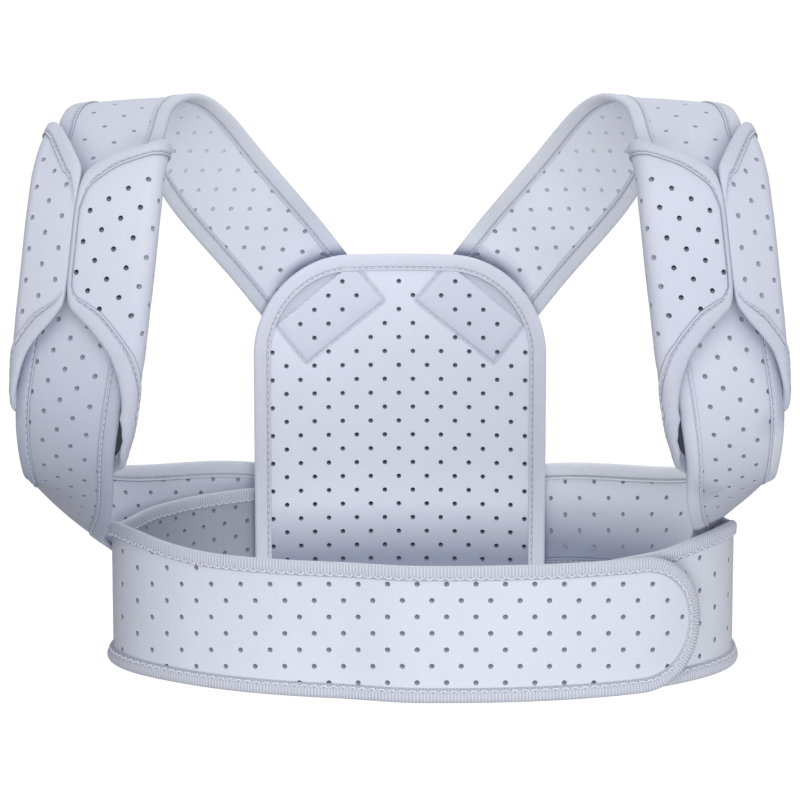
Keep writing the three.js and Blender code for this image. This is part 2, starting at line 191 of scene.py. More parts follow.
PAD_SHAPE = np.array([
    # along the strap, extra half width, radius of the sides, shift towards the outer edge
    [236, 1.2, 5.6, 1.9],
    [262, 1.1, 6.1, 1.4],
    [290, 0.4, 6.5, 0],
    [340, 0.3, 6.5, 0],
    [358, 0.9, 5.9, -0.9],
    [376, 1.0, 5.0, -2.2],
    [387, 1.2, 4.2, -3.4],
    [400, 1.0, 5.0, -2.7],
    [414, 0.8, 4.6, -1.6],
    [426, 0.2, 3.9, -0.2],
    [438, -0.4, 3.2, 0.5],
])
PAD_TAPES = np.array([
    # along the strap, share of the tape that shows on the outer flap, on the inner flap
    [236, 1, 1],
    [277, 1, 1],
    [283, 0.7, 0.9],
    [289, 0.35, 0.5],
    [297, 0.1, 0.2],
    [330, 0.1, 0.2],
    [338, 0.6, 0.7],
    [346, 1, 1],
    [430, 1, 1],
])
PAD_MARGIN = 1.5
PAD_HOLE_UNDER_TAPE = 2.4
PAD_HEAD_MARGIN = np.array([
    # along the strap, extra distance of the inner flap's holes from its edge
    [282, 3],
    [294, 0],
])
PAD_HOLES = (
    # from, to round the pad; first hole; step along, step round
    (0, 70, (299.8, 6.5), (6.65, 0), (0, 7.85)),
    (77, 160, (297.75, 132.73), (6.4, 0.825), (-1.4, 7.28)),
)
STRAP_HOLES = (
    # from, to along the strap; first hole; step along, step across
    (0, 190, (61, 4.5), (7.55, -0.2), (-0.37, 7.18)),
    (200, 285, (229.8, -3.5), (13.2, 0), (-1, 7.5)),
    (285, 600, (351.4, 2.5), (6.91, 0.17), (-1.58, 7.49)),
)
WING_FROM = 490
WING_HOLES_SEEN = {
    # first hole and steps, in pixels of the photograph
    "left": ((124.9, 492.8), (12.5, 13.5)),
    "right": ((565.8, 481.5), (14.5, 16.4)),
}

# Back panel
PANEL_HALF_WIDTH = 72.2
PANEL_BACK = 92.4
PANEL_BEND = 380
PANEL_TOP = -84.6
PANEL_BOTTOM = -252
PANEL_TOP_RADIUS = 46
PANEL_BOTTOM_RADIUS = 8
PANEL_TOP_CROWN = 3
PANEL_HOLE_START = (0.6, -139.6)
PANEL_HOLE_STEPS = ((7.05, 0), (0, 7.05))
PANEL_SHADE = {"dips": 0.34, "foot": 0.85, "boxed": 0.15}
PANEL_FOOT_HEIGHT = 43
PANEL_FOOT_FALL = 28
# the panel's shadow on the straps: reach, how far behind, height where it is full, lower it weakens
PANEL_SHADOW_REACH = 6.0
PANEL_SHADOW_DEPTH = 30
PANEL_SHADOW_FROM = -112
PANEL_SHADOW_RISE = 20
PANEL_SHADOW_LEAST = 0.25
# relief over and beyond the sewn boxes: heights, and the distances they take
PANEL_DIP = 1.1
PANEL_DIP_OVER = 0.6
PANEL_DIP_PAST_END = 2
PANEL_RISE = 0.5
PANEL_RISE_OVER = 4
SEWN_DIP = 0.8
SEWN_DIP_REACH = 0.9
SEWN_CLEAR = 1.7
SEWN_DEEPEST_HOLE = -0.9
SEWN_LINES = (-1.5, -0.7, 0, 0.7, 1.5)
SEWN_BOX = np.array([
    # corners of the box sewn through the panel: out from the middle, up
    [62, -119.2],
    [23.3, -87.8],
    [7.5, -107],
    [46.8, -138.4],
])

# Belt
BELT_TOP = -203.2
BELT_HEIGHT = 61.2
BELT_TAPE_WIDTH = 5.8
LEFT_BELT_LENGTH = 506
RIGHT_BELT_LENGTH = 380
LEFT_LAP = (335, 375)
RIGHT_LAP = (215, 270)
BELT_HOLE_ROW = -211.2
BELT_HOLE_STEPS = ((6.65, 0), (0, 7.45))
BELT_HOLES_SEEN = {
    # first hole and steps, in pixels of the photograph
    "left_belt": ((123.8, 583.8), (14.67, 16.43)),
    "right_belt": ((698.5, 557.6), (14.9, 16.4)),
}
BELT_FRONT_FACING = -0.35
BELT_TURN_GAP = 8
BELT_SHADE = 0.22
BELT_SHADE_FROM = -98
BELT_SHADE_FALL = 34
# thickness added to the tape at the belt's top, and how much more at its bottom
BELT_TAPE_SWELL = (0.4, 1.4)
BELT_RISE = {
    # round the torso, how far the belt's top edge stands up, on the left belt and on the right one
    1: np.array([
        [130, 0], [150, 0], [175, -1], [192, 1.5], [206, 5], [222, 5.8], [232, 5], [245, 3], [258, 1.4],
        [275, 0.2], [290, 0], [310, 0],
    ]),
    -1: np.array([
        [150, 0], [172, 0], [188, 0], [205, 2.5], [222, 6], [237, 6.4], [252, 5], [263, 3.3], [278, 1],
        [292, 0], [315, -2], [330, -2.2], [345, -2.2],
    ]),
}
TORSO_PLAN = np.array([
    # x, y
    [0, 98],
    [-40, 97],
    [-73, 92],
    [-93, 79],
    [-110, 61],
    [-125, 34],
    [-134.2, 8],
    [-135.2, -14],
    [-126.2, -34],
    [-108.6, -51],
    [-82, -68],
    [-50, -80],
    [9, -88],
    [60, -85],
    [100, -74],
    [134, -52],
    [148.4, -28],
    [152.2, 0],
    [147.4, 28],
    [132, 54],
    [107, 76],
    [73, 92],
    [40, 97],
])

# Hook fastener
HOOK_LENGTH = 42
HOOK_HEIGHT = 34
HOOK_THICKNESS = 1.5
HOOK_FROM_TIP = 20
HOOK_PITCH = 1.7
HOOK_PEG = (
    # radius, height out of the patch's face
    (0.24, -0.25),
    (0.2, 0.35),
    (0.34, 0.5),
)

# Punched holes: lit is the colour of the walls that catch light from above
HOLE_SIDES = 10
HOLE_RIM = 0.32
HOLE_RIM_DEPTH = 0.22
HOLE_FLOOR_DEPTH = 0.05
HOLE_FLOOR_SHARE = 0.6
HOLE_LIT = (0.55, 0.58, 0.68)
HOLE_LIT_SHARE = 0.32
HOLE_LIT_FROM = -0.15
HOLE_LIT_OVER = 0.8
HOLE_CLEAR = 0.45
HOLE_UNDER_TAPE = 0.6
BELT_HOLE_UNDER_TAPE = 0.7
# painted shade in the holes, changing along the strap, round the pad and up the panel
STRAP_HOLE_CHANGES = (
    # along the strap, reach, colour of the holes beyond
    (35, 90, "faint_hole"),
    (195, 25, "pale_hole"),
    (STRAP_FRONT, 12, "strap_hole"),
    (WING_FROM - 10, 10, "wing_hole"),
)
# round the pad and up the panel, as above
PAD_HOLE_CHANGES = ((PAD_FRONT, 3, "dark_hole"),)
PANEL_HOLE_CHANGES = ((-205, 70, "panel_hole"),)

# Sewing: stitches lie in from the tape's border and out from the cloth's face
SEAM_INSET = 1.55
WEAVE_PITCH = 1.05
STITCH_LIFT = 0.5
STITCH_RADIUS = 0.26
PANEL_STITCH_RADIUS = 0.3
BOX_STITCH_LIFT = 0.1
BELT_STITCH_LIFT = 0.7
BELT_STITCH_RADIUS = 0.33
BELT_STITCH_INSET = 0.9

# Share of red, green and blue that a finish keeps in full soft shade
SHADE_LEFT = (0.276, 0.3, 0.375)

# Half the floor's side in metres, and the corners of a square round the middle
FLOOR_REACH = 30.0
SQUARE = np.array([[-1, -1], [1, -1], [1, 1], [-1, 1]])

# Camera, from the photograph
CAMERA_LIFT = math.radians(9.5)
CAMERA_DISTANCE = 1.64
CAMERA_AIM = (0, 0, -0.142)
CAMERA_LENS = 155.66
CAMERA_SENSOR = 36
PHOTO_SIZE = 800
PHOTO_FOCUS = CAMERA_LENS / CAMERA_SENSOR * PHOTO_SIZE

# Name, which way is out, layer of its strap at the back; the tables' column for its shade
SIDES = (("left", -1, 1), ("right", 1, -1))
SHADE_COLUMN = {-1: 1, 1: 2}


# Settings

def length(label, about, default):
    return FloatProperty(name=label, description=about, default=default, min=0, unit="LENGTH", precision=5)


def colour(label, about, default):
    return FloatVectorProperty(
        name=label, description=about, default=default, size=3, min=0, max=1, subtype="COLOR")


def power(label, about, default):
    return FloatProperty(name=label, description=about, default=default, min=0, unit="POWER")


class BraceCloth(bpy.types.PropertyGroup):
    """The perforated cloth"""
    wall: length("Wall", "Thickness of the cloth", 0.0019)
    hole: length("Hole", "Radius of the punched holes", 0.00116)
    depth: length("Depth", "How deep each punched hole shows", 0.0008)
    tint: colour("Cloth", "Colour of the straps and pads", (0.587, 0.612, 0.712))
    # painted light: the panel's cloth is made lighter than the straps' cloth to make up for the light it
    # lacks
    panel_tint_painted_light: colour("Panel cloth", "Colour of the back panel", (0.778, 0.805, 0.92))
    # painted light: the straps' body side is the same cloth as their face, made much lighter where little
    # light reaches it
    lining: colour("Lining", "Colour of the straps' body side", (0.85, 0.878, 1.0))
    # painted shade: the pads' inside facing the strap is near black, so the gaps under the flaps show dark
    pad_lining: colour("Pad lining", "Colour of the pads' shaded inside", (0.116, 0.122, 0.156))
    # painted shade: the belt's body side is the same cloth as its face, made darker for the shade inside
    # the belt
    belt_lining: colour("Belt lining", "Colour of the belt's body side", (0.374, 0.392, 0.472))
    belt_tint: colour("Belt cloth", "Colour of the belt", (0.614, 0.641, 0.725))
    # painted shade: the colours inside the holes stand for the shade in them, set part by part, near black
    # in the pads' inner holes, darker low on the panel, pale on the outer flaps and faint high on the
    # straps
    dark_hole: colour("Dark holes", "Colour inside the pads' inner holes", (0.023, 0.025, 0.037))
    panel_hole: colour("Panel holes", "Colour inside the panel's holes", (0.071, 0.077, 0.105))
    pale_hole: colour("Pale holes", "Colour inside the outer flaps' holes", (0.240, 0.254, 0.311))
    faint_hole: colour("Faint holes", "Colour of the holes high on the straps", (0.587, 0.614, 0.721))
    strap_hole: colour("Strap holes", "Colour inside the straps' front holes", (0.187, 0.200, 0.258))
    wing_hole: colour("Band holes", "Colour of the holes of the back band", (0.267, 0.280, 0.343))
    belt_hole: colour("Belt holes", "Colour inside the belt's holes", (0.151, 0.163, 0.205))


class BraceTape(bpy.types.PropertyGroup):
    """The folded tapes and their stitches"""
    width: length("Width", "Width of the folded tape on each face", 0.0072)
    thickness: length("Thickness", "Thickness of the tape", 0.00062)
    rib_pitch: length("Rib pitch", "Distance between the belt tape's ribs", 0.0015)
    rib_height: length("Rib height", "Height of the belt tape's ribs", 0.00045)
    stitch_pitch: length("Stitch pitch", "Distance from stitch to stitch", 0.0034)
    tint: colour("Tape", "Colour of the pads' tapes", (0.556, 0.579, 0.676))
    # painted light: the straps' tape colour is lighter than the pads' tape, and painted shade along the
    # strap keeps it only on the back lengths
    strap_tint: colour("Strap tape", "Colour of the straps' tapes", (0.85, 0.88, 1.0))
    # painted light: the panel's tape is made lighter than the other tapes in the same way
    panel_tint_painted_light: colour("Panel tape", "Colour of the back panel's tape", (0.681, 0.705, 0.812))
    belt_tint: colour("Belt tape", "Colour of the ribbed belt tape", (0.579, 0.601, 0.694))
    thread: colour("Thread", "Colour of the straps' and pads' stitches", (0.605, 0.632, 0.730))
    panel_thread: colour("Panel thread", "Colour of the back panel's stitches", (0.774, 0.797, 0.890))
    belt_thread: colour("Belt thread", "Colour of the belt's looped stitches", (0.712, 0.739, 0.845))
    hook: colour("Hook tape", "Colour of the hook fastener", (0.516, 0.534, 0.596))


class BraceStage(bpy.types.PropertyGroup):
    """The floor and the lights"""
    drop: length("Drop", "Height of the brace's lowest edge above the floor", 1.2)
    floor: colour("Floor", "Colour of the floor", (1.0, 1.0, 1.0))
    sky: FloatProperty(name="Sky", description="Strength of the light from all round", default=0.765, min=0)
    key: power("Key", "Power of the light high in front", 6.8)
    side: power("Side", "Power of the light at the right", 7.4)
    fill: power("Fill", "Power of the light low in front", 22.5)
    top: power("Top", "Power of the light overhead", 10.2)


# Curves

def unit(vectors):
    return vectors / np.maximum(np.linalg.norm(vectors, axis=-1, keepdims=True), 1e-12)


def chord_lengths(points):
    return np.concatenate([[0], np.cumsum(np.linalg.norm(np.diff(points, axis=0), axis=1))])


def looked_up(table, at, column=1):
    """A column of a table at the places given, straight between its rows"""
    return np.interp(at, table[:, 0], table[:, column])


class Spline:
    """A natural cubic spline through rows of numbers at the stations given"""

    def __init__(self, at, rows):
        self.at = np.asarray(at, float)
        self.rows = np.asarray(rows, float)
        step = np.diff(self.at)
        slope = np.diff(self.rows, axis=0) / step[:, None]
        system = np.eye(len(self.at))
        right = np.zeros_like(self.rows)
        for i in range(1, len(step)):
            system[i, i - 1:i + 2] = step[i - 1], 2 * (step[i - 1] + step[i]), step[i]
            right[i] = 6 * (slope[i] - slope[i - 1])
        self.bend = np.linalg.solve(system, right)

    def __call__(self, t):
        t = np.atleast_1d(np.asarray(t, float))
        i = np.clip(np.searchsorted(self.at, t) - 1, 0, len(self.at) - 2)
        step = (self.at[i + 1] - self.at[i])[:, None]
        a = (self.at[i + 1] - t)[:, None] / step
        b = 1 - a
        curve = (a ** 3 - a) * self.bend[i] + (b ** 3 - b) * self.bend[i + 1]
        return a * self.rows[i] + b * self.rows[i + 1] + curve * step ** 2 / 6


def closed_plan():
    lap = chord_lengths(np.vstack([TORSO_PLAN, TORSO_PLAN[:1]]))
    at = np.concatenate([lap[:-1] + turn * lap[-1] for turn in (-1, 0, 1)])
    return Spline(at, np.vstack([TORSO_PLAN] * 3))


TORSO = closed_plan()


def torso_point(u, out, up):
    """The point this far round the torso from the back's middle, and this far out from its plan"""
    here = TORSO(u)
    along = unit(TORSO(u + 0.5) - TORSO(u - 0.5))
    aside = np.stack([along[:, 1], -along[:, 0]], 1) * np.reshape(out, (-1, 1))
    return np.column_stack([here + aside, up + 0 * here[:, 0]])


def resample(path, step, closed=False):
    """Points at an even step along a flat path"""
    path = np.asarray(path, float)
    if closed:
        path = np.vstack([path, path[:1]])
    at = chord_lengths(path)
    count = max(int(round(at[-1] / step)), 2)
    stations = np.linspace(0, at[-1], count + 1)
    if closed:
        stations = stations[:-1]
    return np.stack([np.interp(stations, at, path[:, k]) for k in (0, 1)], 1)


def rounded(path, rounds=3):
    """The path with its corners cut again and again, its two ends kept"""
    path = np.asarray(path, float)
    for _ in range(rounds):
        a = 0.75 * path[:-1] + 0.25 * path[1:]
        b = 0.25 * path[:-1] + 0.75 * path[1:]
        path = np.vstack([path[:1], np.stack([a, b], 1).reshape(-1, 2), path[-1:]])
    return path


# Cloth surfaces: each takes two flat cloth coordinates and gives the point at the wall's middle

class Surface:
    """A cloth surface and the side of it that faces out"""

    def __init__(self, point, facing):
        self.point = point
        self.facing = facing

    def normal(self, u, v):
        h = 0.25
        du = self.point(u + h, v) - self.point(u - h, v)
        dv = self.point(u, v + h) - self.point(u, v - h)
        return self.facing * unit(np.cross(du, dv))

    def offset(self, flat, out):
        u, v = flat[:, 0], flat[:, 1]
        return self.point(u, v) + self.normal(u, v) * np.reshape(out, (-1, 1))

    def raised_normal(self, flat, lift):
        """The normal of the surface raised by a function of the flat place"""
        ends = [flat + step for step in np.array([[0.3, 0], [-0.3, 0], [0, 0.3], [0, -0.3]])]
        a, b, c, d = (self.offset(end, lift(end)) for end in ends)
        return self.facing * unit(np.cross(a - b, c - d))


def strap_frame(layer):
    """The strap's middle, direction across, outward normal and bulge, as a function of the station"""
    path = STRAP_PATH.copy()
    if layer > 0:
        path[LEFT_TURN_AT:LEFT_TURN_AT + len(LEFT_TURN)] = LEFT_TURN
    rows = np.column_stack([
        (path[:, 0:3] + path[:, 3:6]) / 2,
        path[:, 0:3] - path[:, 3:6],
        path[:, 6] * layer * LAYER_STEP / 2,
        path[:, 7],
    ])
    middle = torso_point(BAND_ROWS[:, 0], LAYER_STEP / 2, BAND_ROWS[:, 1:].mean(axis=1))
    middle[:, 0] *= -1
    band = np.zeros((len(BAND_ROWS), 8))
    band[:, 0:3] = middle
    band[:, 5] = BAND_ROWS[:, 1] - BAND_ROWS[:, 2]
    band[:, 6] = layer * LAYER_STEP / 2
    rows = np.vstack([rows, band])
    at = chord_lengths(rows[:, 0:3])
    curve = Spline(at, rows)

    def frame_at(s):
        here = curve(s)
        along = unit(curve(s + 0.5)[:, 0:3] - curve(s - 0.5)[:, 0:3])
        across = unit(here[:, 3:6])
        outward = unit(np.cross(along, across))
        return here[:, 0:3] + outward * here[:, 6:7], across, outward, here[:, 7]

    return frame_at, at[-1]


def strap_surface(side, frame_at):
    def point(s, q):
        middle, across, outward, bulge = frame_at(s)
        crown = bulge * (1 - (2 * q / STRAP_WIDTH) ** 2)
        outer, inner = (looked_up(STRAP_FLARE, s, k) for k in (1, 2))
        q = q * (1 + np.where(q > 0, outer, inner))
        return (middle + across * q[:, None] + outward * crown[:, None]) * (side, 1, 1)
    return Surface(point, side)


def pad_shape(s):
    """The pad's half flat width, the radius of its sides and its shift, at a station"""
    flare, radius, shift = (looked_up(PAD_SHAPE, s, k) for k in (1, 2, 3))
    return PAD_HALF_FLAT + flare, radius, shift


def pad_round(s):
    flat, radius, _ = pad_shape(s)
    return 4 * flat + TURN * radius


def pad_section(s, g):
    """Place across the strap and lift above it, this far round the pad's section from the seam"""
    flat, radius, shift = pad_shape(s)
    arc = math.pi * radius
    first = g - (flat + shift - PAD_SEAM_AT)
    second = first - arc
    third = second - 2 * flat
    fourth = third - arc
    turn_out = np.clip(first, 0, arc) / radius
    turn_in = np.clip(third, 0, arc) / radius
    where = [first < 0, second < 0, third < 0, fourth < 0]
    outer = flat + radius * np.sin(turn_out)
    inner = -flat - radius * np.sin(turn_in)
    across = np.select(where, [flat + first, outer, flat - second, inner], -flat + fourth)
    lift = np.select(where, [radius, radius * np.cos(turn_out), -radius, -radius * np.cos(turn_in)], radius)
    return across + shift, lift


def pad_surface(side, frame_at):
    def point(s, g):
        middle, across, outward, bulge = frame_at(s)
        q, lift = pad_section(s, g)
        crown = bulge * np.maximum(1 - (2 * q / STRAP_WIDTH) ** 2, 0)
        return (middle + across * q[:, None] + outward * (lift + crown)[:, None]) * (side, 1, 1)
    return Surface(point, side)


def panel_surface():
    def point(u, z):
        turn = u / PANEL_BEND
        drop = PANEL_BEND * (1 - np.cos(turn))
        return np.stack([-PANEL_BEND * np.sin(turn), PANEL_BACK - drop, z + 0 * u], 1)
    return Surface(point, -1)


def eased(at, span):
    t = np.clip((at - span[0]) / (span[1] - span[0]), 0, 1)
    return t * t * (3 - 2 * t)


def belt_surface(way):
    """The left belt for 1, the right one for -1"""
    rise = BELT_RISE[way]
    curve = Spline(rise[:, 0], rise[:, 1:])

    def point(u, z):
        out = eased(u, LEFT_LAP) if way > 0 else 1 - eased(u, RIGHT_LAP)
        share = np.clip((z - BELT_TOP + BELT_HEIGHT) / BELT_HEIGHT, 0, 1)
        lift = curve(np.clip(u, rise[0, 0], rise[-1, 0]))[:, 0] * share
        return torso_point(way * u, LAYER_STEP * out, z + lift)
    return Surface(point, way)


# Meshes

def new_piece(name, points, faces, finishes, finish_of=None, flat=None, angle=40, nodes=(),
              normals=None, dim=None):
    """An object from points in millimetres, riding on the brace's one body"""
    mesh = bpy.data.meshes.new(name)
    mesh.from_pydata((np.asarray(points) * MM).tolist(), [], faces)
    for finish in finishes:
        mesh.materials.append(finish)
    if finish_of is not None:
        mesh.polygons.foreach_set("material_index", np.asarray(finish_of, np.int32))
    mesh.polygons.foreach_set("use_smooth", np.ones(len(mesh.polygons), bool))
    if flat is not None:
        layer = mesh.attributes.new("flat", "FLOAT_VECTOR", "POINT")
        padded = np.column_stack([flat, np.zeros(len(flat))]).astype(np.float32)
        layer.data.foreach_set("vector", padded.ravel())
    if dim is not None:
        layer = mesh.attributes.new("dim", "FLOAT", "POINT")
        layer.data.foreach_set("value", np.clip(dim, 0, 1).astype(np.float32))
    mesh.validate()
    if normals is None:
        mesh.set_sharp_from_angle(angle=math.radians(angle))
    else:
        mesh.normals_split_custom_set_from_vertices(normals.tolist())
    piece = bpy.data.objects.new(name, mesh)
    bpy.context.scene.collection.objects.link(piece)
    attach(piece, BODY)
    if nodes:
        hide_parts(*nodes)
    return piece


def side_distance(points, a, b):
    """Distance from each flat point to the straight line between two others"""
    way = b - a
    share = np.clip((points - a) @ way / max(way @ way, 1e-9), 0, 1)
    return np.linalg.norm(points - a - share[:, None] * way, axis=1)


def edge_distance(points, loop):
    """Distance from each flat point to a closed loop"""
    best = np.full(len(points), np.inf)
    for a, b in zip(loop, np.roll(loop, -1, axis=0)):
        best = np.minimum(best, side_distance(points, a, b))
    return best


def inside(points, loop):
    found = np.zeros(len(points), bool)
    x, y = points[:, 0], points[:, 1]
    for (x0, y0), (x1, y1) in zip(loop, np.roll(loop, -1, axis=0)):
        crosses = (y0 > y) != (y1 > y)
        rise = (y1 - y0) if y1 != y0 else 1e-9
        found ^= crosses & (x < x0 + (y - y0) * (x1 - x0) / rise)
    return found


def clear_inside(points, loop, margin):
    """The flat points inside a loop that keep a margin from it"""
    points = points[inside(points, loop)]
    clear = margin(points) if callable(margin) else margin
    return points[edge_distance(points, loop) > clear]


def staggered(columns, rows):
    return np.array([(i, j) for i in columns for j in rows if (i + j) % 2 == 0])


def hole_lattice(loop, start, steps, margin):
    """Centres of staggered rows of holes, clear of the loop by the margin; steps are two flat directions"""
    steps = np.array(steps, float)
    (x0, y0), (x1, y1) = loop.min(axis=0), loop.max(axis=0)
    corners = (np.array([[x0, y0], [x1, y0], [x1, y1], [x0, y1]]) - start) @ np.linalg.inv(steps)
    low = np.floor(corners.min(axis=0)).astype(int)
    high = np.ceil(corners.max(axis=0)).astype(int)
    places = staggered(range(low[0], high[0] + 1), range(low[1], high[1] + 1))
    return clear_inside(places @ steps + start, loop, margin)


def patterned_holes(loop, patterns, axis, margin):
    """Holes in several lattices, each over its own span of the flat cloth"""
    found = []
    for low, high, first, *steps in patterns:
        holes = hole_lattice(loop, first, steps, margin)
        found.append(holes[(holes[:, axis] > low) & (holes[:, axis] <= high)])
    return np.vstack(found)


def grid_points(loop, step):
    low = loop.min(axis=0) + step / 2
    high = loop.max(axis=0)
    columns, rows = (np.arange(low[k], high[k], step) for k in (0, 1))
    return np.stack(np.meshgrid(columns, rows), -1).reshape(-1, 2)


def ring_of(sides):
    angle = np.arange(sides) * TURN / sides
    return np.stack([np.cos(angle), np.sin(angle)], 1)


def ring_quads(rings, sides, closed=False):
    """Faces between one ring of points and the next"""
    index = np.arange(rings * sides).reshape(rings, sides)
    here = index if closed else index[:-1]
    after = np.roll(index, -1, axis=0) if closed else index[1:]
    quads = np.stack([here, np.roll(here, -1, axis=1), np.roll(after, -1, axis=1), after], -1)
    return quads.reshape(-1, 4)


def slab_faces(triangles, edge, count):
    """A flat piece's outer side, its inner side and its rim; the inner side's points follow the outer's"""
    after = np.roll(edge, -1)
    rim = np.stack([edge, edge + count, after + count, after], 1)
    return triangles.tolist(), (triangles[:, ::-1] + count).tolist(), rim.tolist()


def cut_cloth(loop, rings, loose):
    """Triangles of the flat cloth inside the loop and outside the rings, and where each point went"""
    ring_count, ring_size = rings.shape[:2]
    points = np.vstack([loop, rings.reshape(-1, 2), loose])
    edges = [(i, (i + 1) % len(loop)) for i in range(len(loop))]
    for k in range(ring_count):
        base = len(loop) + k * ring_size
        edges += [(base + i, base + (i + 1) % ring_size) for i in range(ring_size)]
    made = delaunay_2d_cdt([Vector(p) for p in points.tolist()], edges, [], 1, 1e-6)
    flat = np.array([tuple(p) for p in made[0]])
    triangles = np.array(made[2])
    where = np.zeros(len(points), int)
    for place, sources in enumerate(made[3]):
        for source in sources:
            where[source] = place
    middles = flat[triangles].mean(axis=1)
    keep = np.ones(len(triangles), bool)
    for ring in rings:
        centre = ring.mean(axis=0)
        near = np.linalg.norm(ring[0] - centre) * 0.93
        keep &= np.linalg.norm(middles - centre, axis=1) > near
    triangles = triangles[keep]
    a, b, c = (flat[triangles[:, k]] for k in range(3))
    turn = (b[:, 0] - a[:, 0]) * (c[:, 1] - a[:, 1]) - (b[:, 1] - a[:, 1]) * (c[:, 0] - a[:, 0])
    triangles[turn < 0] = triangles[turn < 0][:, ::-1]
    return flat, triangles, where


def perforated_cloth(name, surface, loop, holes, finishes, node, step, dims, relief=None,
                     extra=()):
    """A closed cloth wall punched in both of its faces; finishes are the face, the holes and the lining"""
    cloth = bpy.context.scene.brace_cloth
    wall = cloth.wall / MM
    radius = cloth.hole / MM
    depth = cloth.depth / MM
    sides = HOLE_SIDES
    rim = HOLE_RIM
    loop = np.asarray(loop, float)
    area = loop[:, 0] @ np.roll(loop[:, 1], -1) - loop[:, 1] @ np.roll(loop[:, 0], -1)
    if area < 0:
        loop = loop[::-1]
    circle = ring_of(sides)
    rings = holes[:, None, :] + circle * (radius + rim)
    loose = np.vstack([grid_points(loop, step)] + [np.asarray(extra).reshape(-1, 2)])
    loose = clear_inside(loose, loop, 0.45 * step)
    for hole in holes:
        loose = loose[np.linalg.norm(loose - hole, axis=1) > radius + rim + HOLE_CLEAR]
    flat, triangles, where = cut_cloth(loop, rings, loose)
    count = len(flat)
    lift = relief(flat) if relief else np.zeros(count)
    points = [surface.offset(flat, wall / 2 + lift), surface.offset(flat, np.full(count, -wall / 2))]
    facing_out = surface.raised_normal(flat, relief) if relief else surface.normal(flat[:, 0], flat[:, 1])
    normals = [facing_out, -surface.normal(flat[:, 0], flat[:, 1])]
    flats = [flat, flat]
    flips = surface.facing > 0
    outer, inner, edge = slab_faces(triangles, where[:len(loop)], count)
    faces = outer + inner + edge
    if not flips:
        faces = [face[::-1] for face in faces]
    finish_of = [0] * len(outer) + [2] * len(inner) + [0] * len(edge)
    ring_at = where[len(loop):len(loop) + rings.shape[0] * sides].reshape(-1, sides)
    base = 2 * count
    for face, sign in ((0, 1), (1, -1)):
        outs = [wall / 2 - HOLE_RIM_DEPTH, wall / 2 - depth, wall / 2 - depth - HOLE_FLOOR_DEPTH]
        wides = [radius, radius * HOLE_FLOOR_SHARE]
        for hole_index, centre in enumerate(holes):
            raised = relief(centre[None])[0] if relief and sign > 0 else 0
            first = base
            floor = surface.offset(centre[None], np.array([sign * (outs[2] + raised)]))
            up = sign * surface.normal(*centre[:, None])
            for out, wide, steep in zip(outs[:2], wides, (1.0, 0.6)):
                ring = centre + circle * wide
                flats.append(ring)
                points.append(surface.offset(ring, np.full(sides, sign * (out + raised))))
                normals.append(unit(up + steep * unit(floor - points[-1])))
            flats.append(centre[None])
            points.append(floor)
            normals.append(up)
            base += 2 * sides + 1
            upper = ring_at[hole_index] + face * count
            middle = first + np.arange(sides)
            lower = middle + sides
            forward = (sign > 0) == flips
            for i in range(sides):
                j = (i + 1) % sides
                shapes = [
                    [upper[i], upper[j], middle[j], middle[i]],
                    [middle[i], middle[j], lower[j], lower[i]],
                    [lower[i], lower[j], first + 2 * sides],
                ]
                if not forward:
                    shapes = [shape[::-1] for shape in shapes]
                faces += [[int(x) for x in shape] for shape in shapes]
                finish_of += [face * 2, 1, 1]
    points, flats = np.vstack(points), np.vstack(flats)
    dim = dims(flats, points)
    return new_piece(
        name, points, faces, finishes, finish_of, flats, 50, (node,), np.vstack(normals), dim)


def half_wall():
    return bpy.context.scene.brace_cloth.wall / MM / 2


def tape_section(wide, ribbed):
    """The folded tape's section: in from the cloth's edge, out from its middle, shares of ribs and swell"""
    inner = half_wall() + 0.03
    outer = inner + bpy.context.scene.brace_tape.thickness / MM
    smooth_half = [
        (wide, inner, 0, 0),
        (wide, inner + 0.5, 0, 0),
        (wide - 0.25, outer + 0.12, 0, 0),
        (wide - 0.85, outer + 0.14, 0, 0),
        (wide - 1.25, outer - 0.45, 0, 0),
        (wide - 1.8, outer - 0.5, 0, 0),
        (wide - 2.1, outer - 0.05, 0.5, 0),
        (wide - 2.8, outer + 0.1, 1, 0),
        (wide * 0.3, outer + 0.12, 1, 0),
        (0.3, outer, 1, 0),
        (-0.6, outer * 0.72, 0.7, 0),
        (-0.98, outer * 0.3, 0.4, 0),
    ]
    ribbed_half = [
        (wide, inner, 0, 0),
        (wide - 0.15, inner + 0.4, 0.3, 0.1),
        (wide - 1, outer, 0.8, 0.35),
        (wide - 2.2, outer + 0.12, 1, 0.75),
        (wide * 0.4, outer + 0.22, 1, 1),
        (0.8, outer + 0.2, 0.9, 1),
        (-0.3, outer * 0.9, 0.6, 0.85),
        (-0.9, outer * 0.5, 0.35, 0.5),
    ]
    half = ribbed_half if ribbed else smooth_half
    back = [(deep, -out, share, 0) for deep, out, share, _ in half[::-1]]
    section = half + [(-1.05, 0, 0.3, 0.2)] + back + [(-0.28, -inner, 0, 0), (-0.28, inner, 0, 0)]
    return np.array(section)


def inward_along(path, closed, blur):
    """The direction into the cloth along a path that has the cloth on its left"""
    if closed:
        way = np.roll(path, -1, axis=0) - np.roll(path, 1, axis=0)
    else:
        way = np.gradient(path, axis=0)
    way = unit(way)
    for _ in range(blur):
        if closed:
            way = unit(np.roll(way, 1, axis=0) + 2 * way + np.roll(way, -1, axis=0))
        else:
            padded = np.vstack([way[:1], way, way[-1:]])
            way = unit(padded[:-2] + 2 * way + padded[2:])
    return np.stack([-way[:, 1], way[:, 0]], 1)


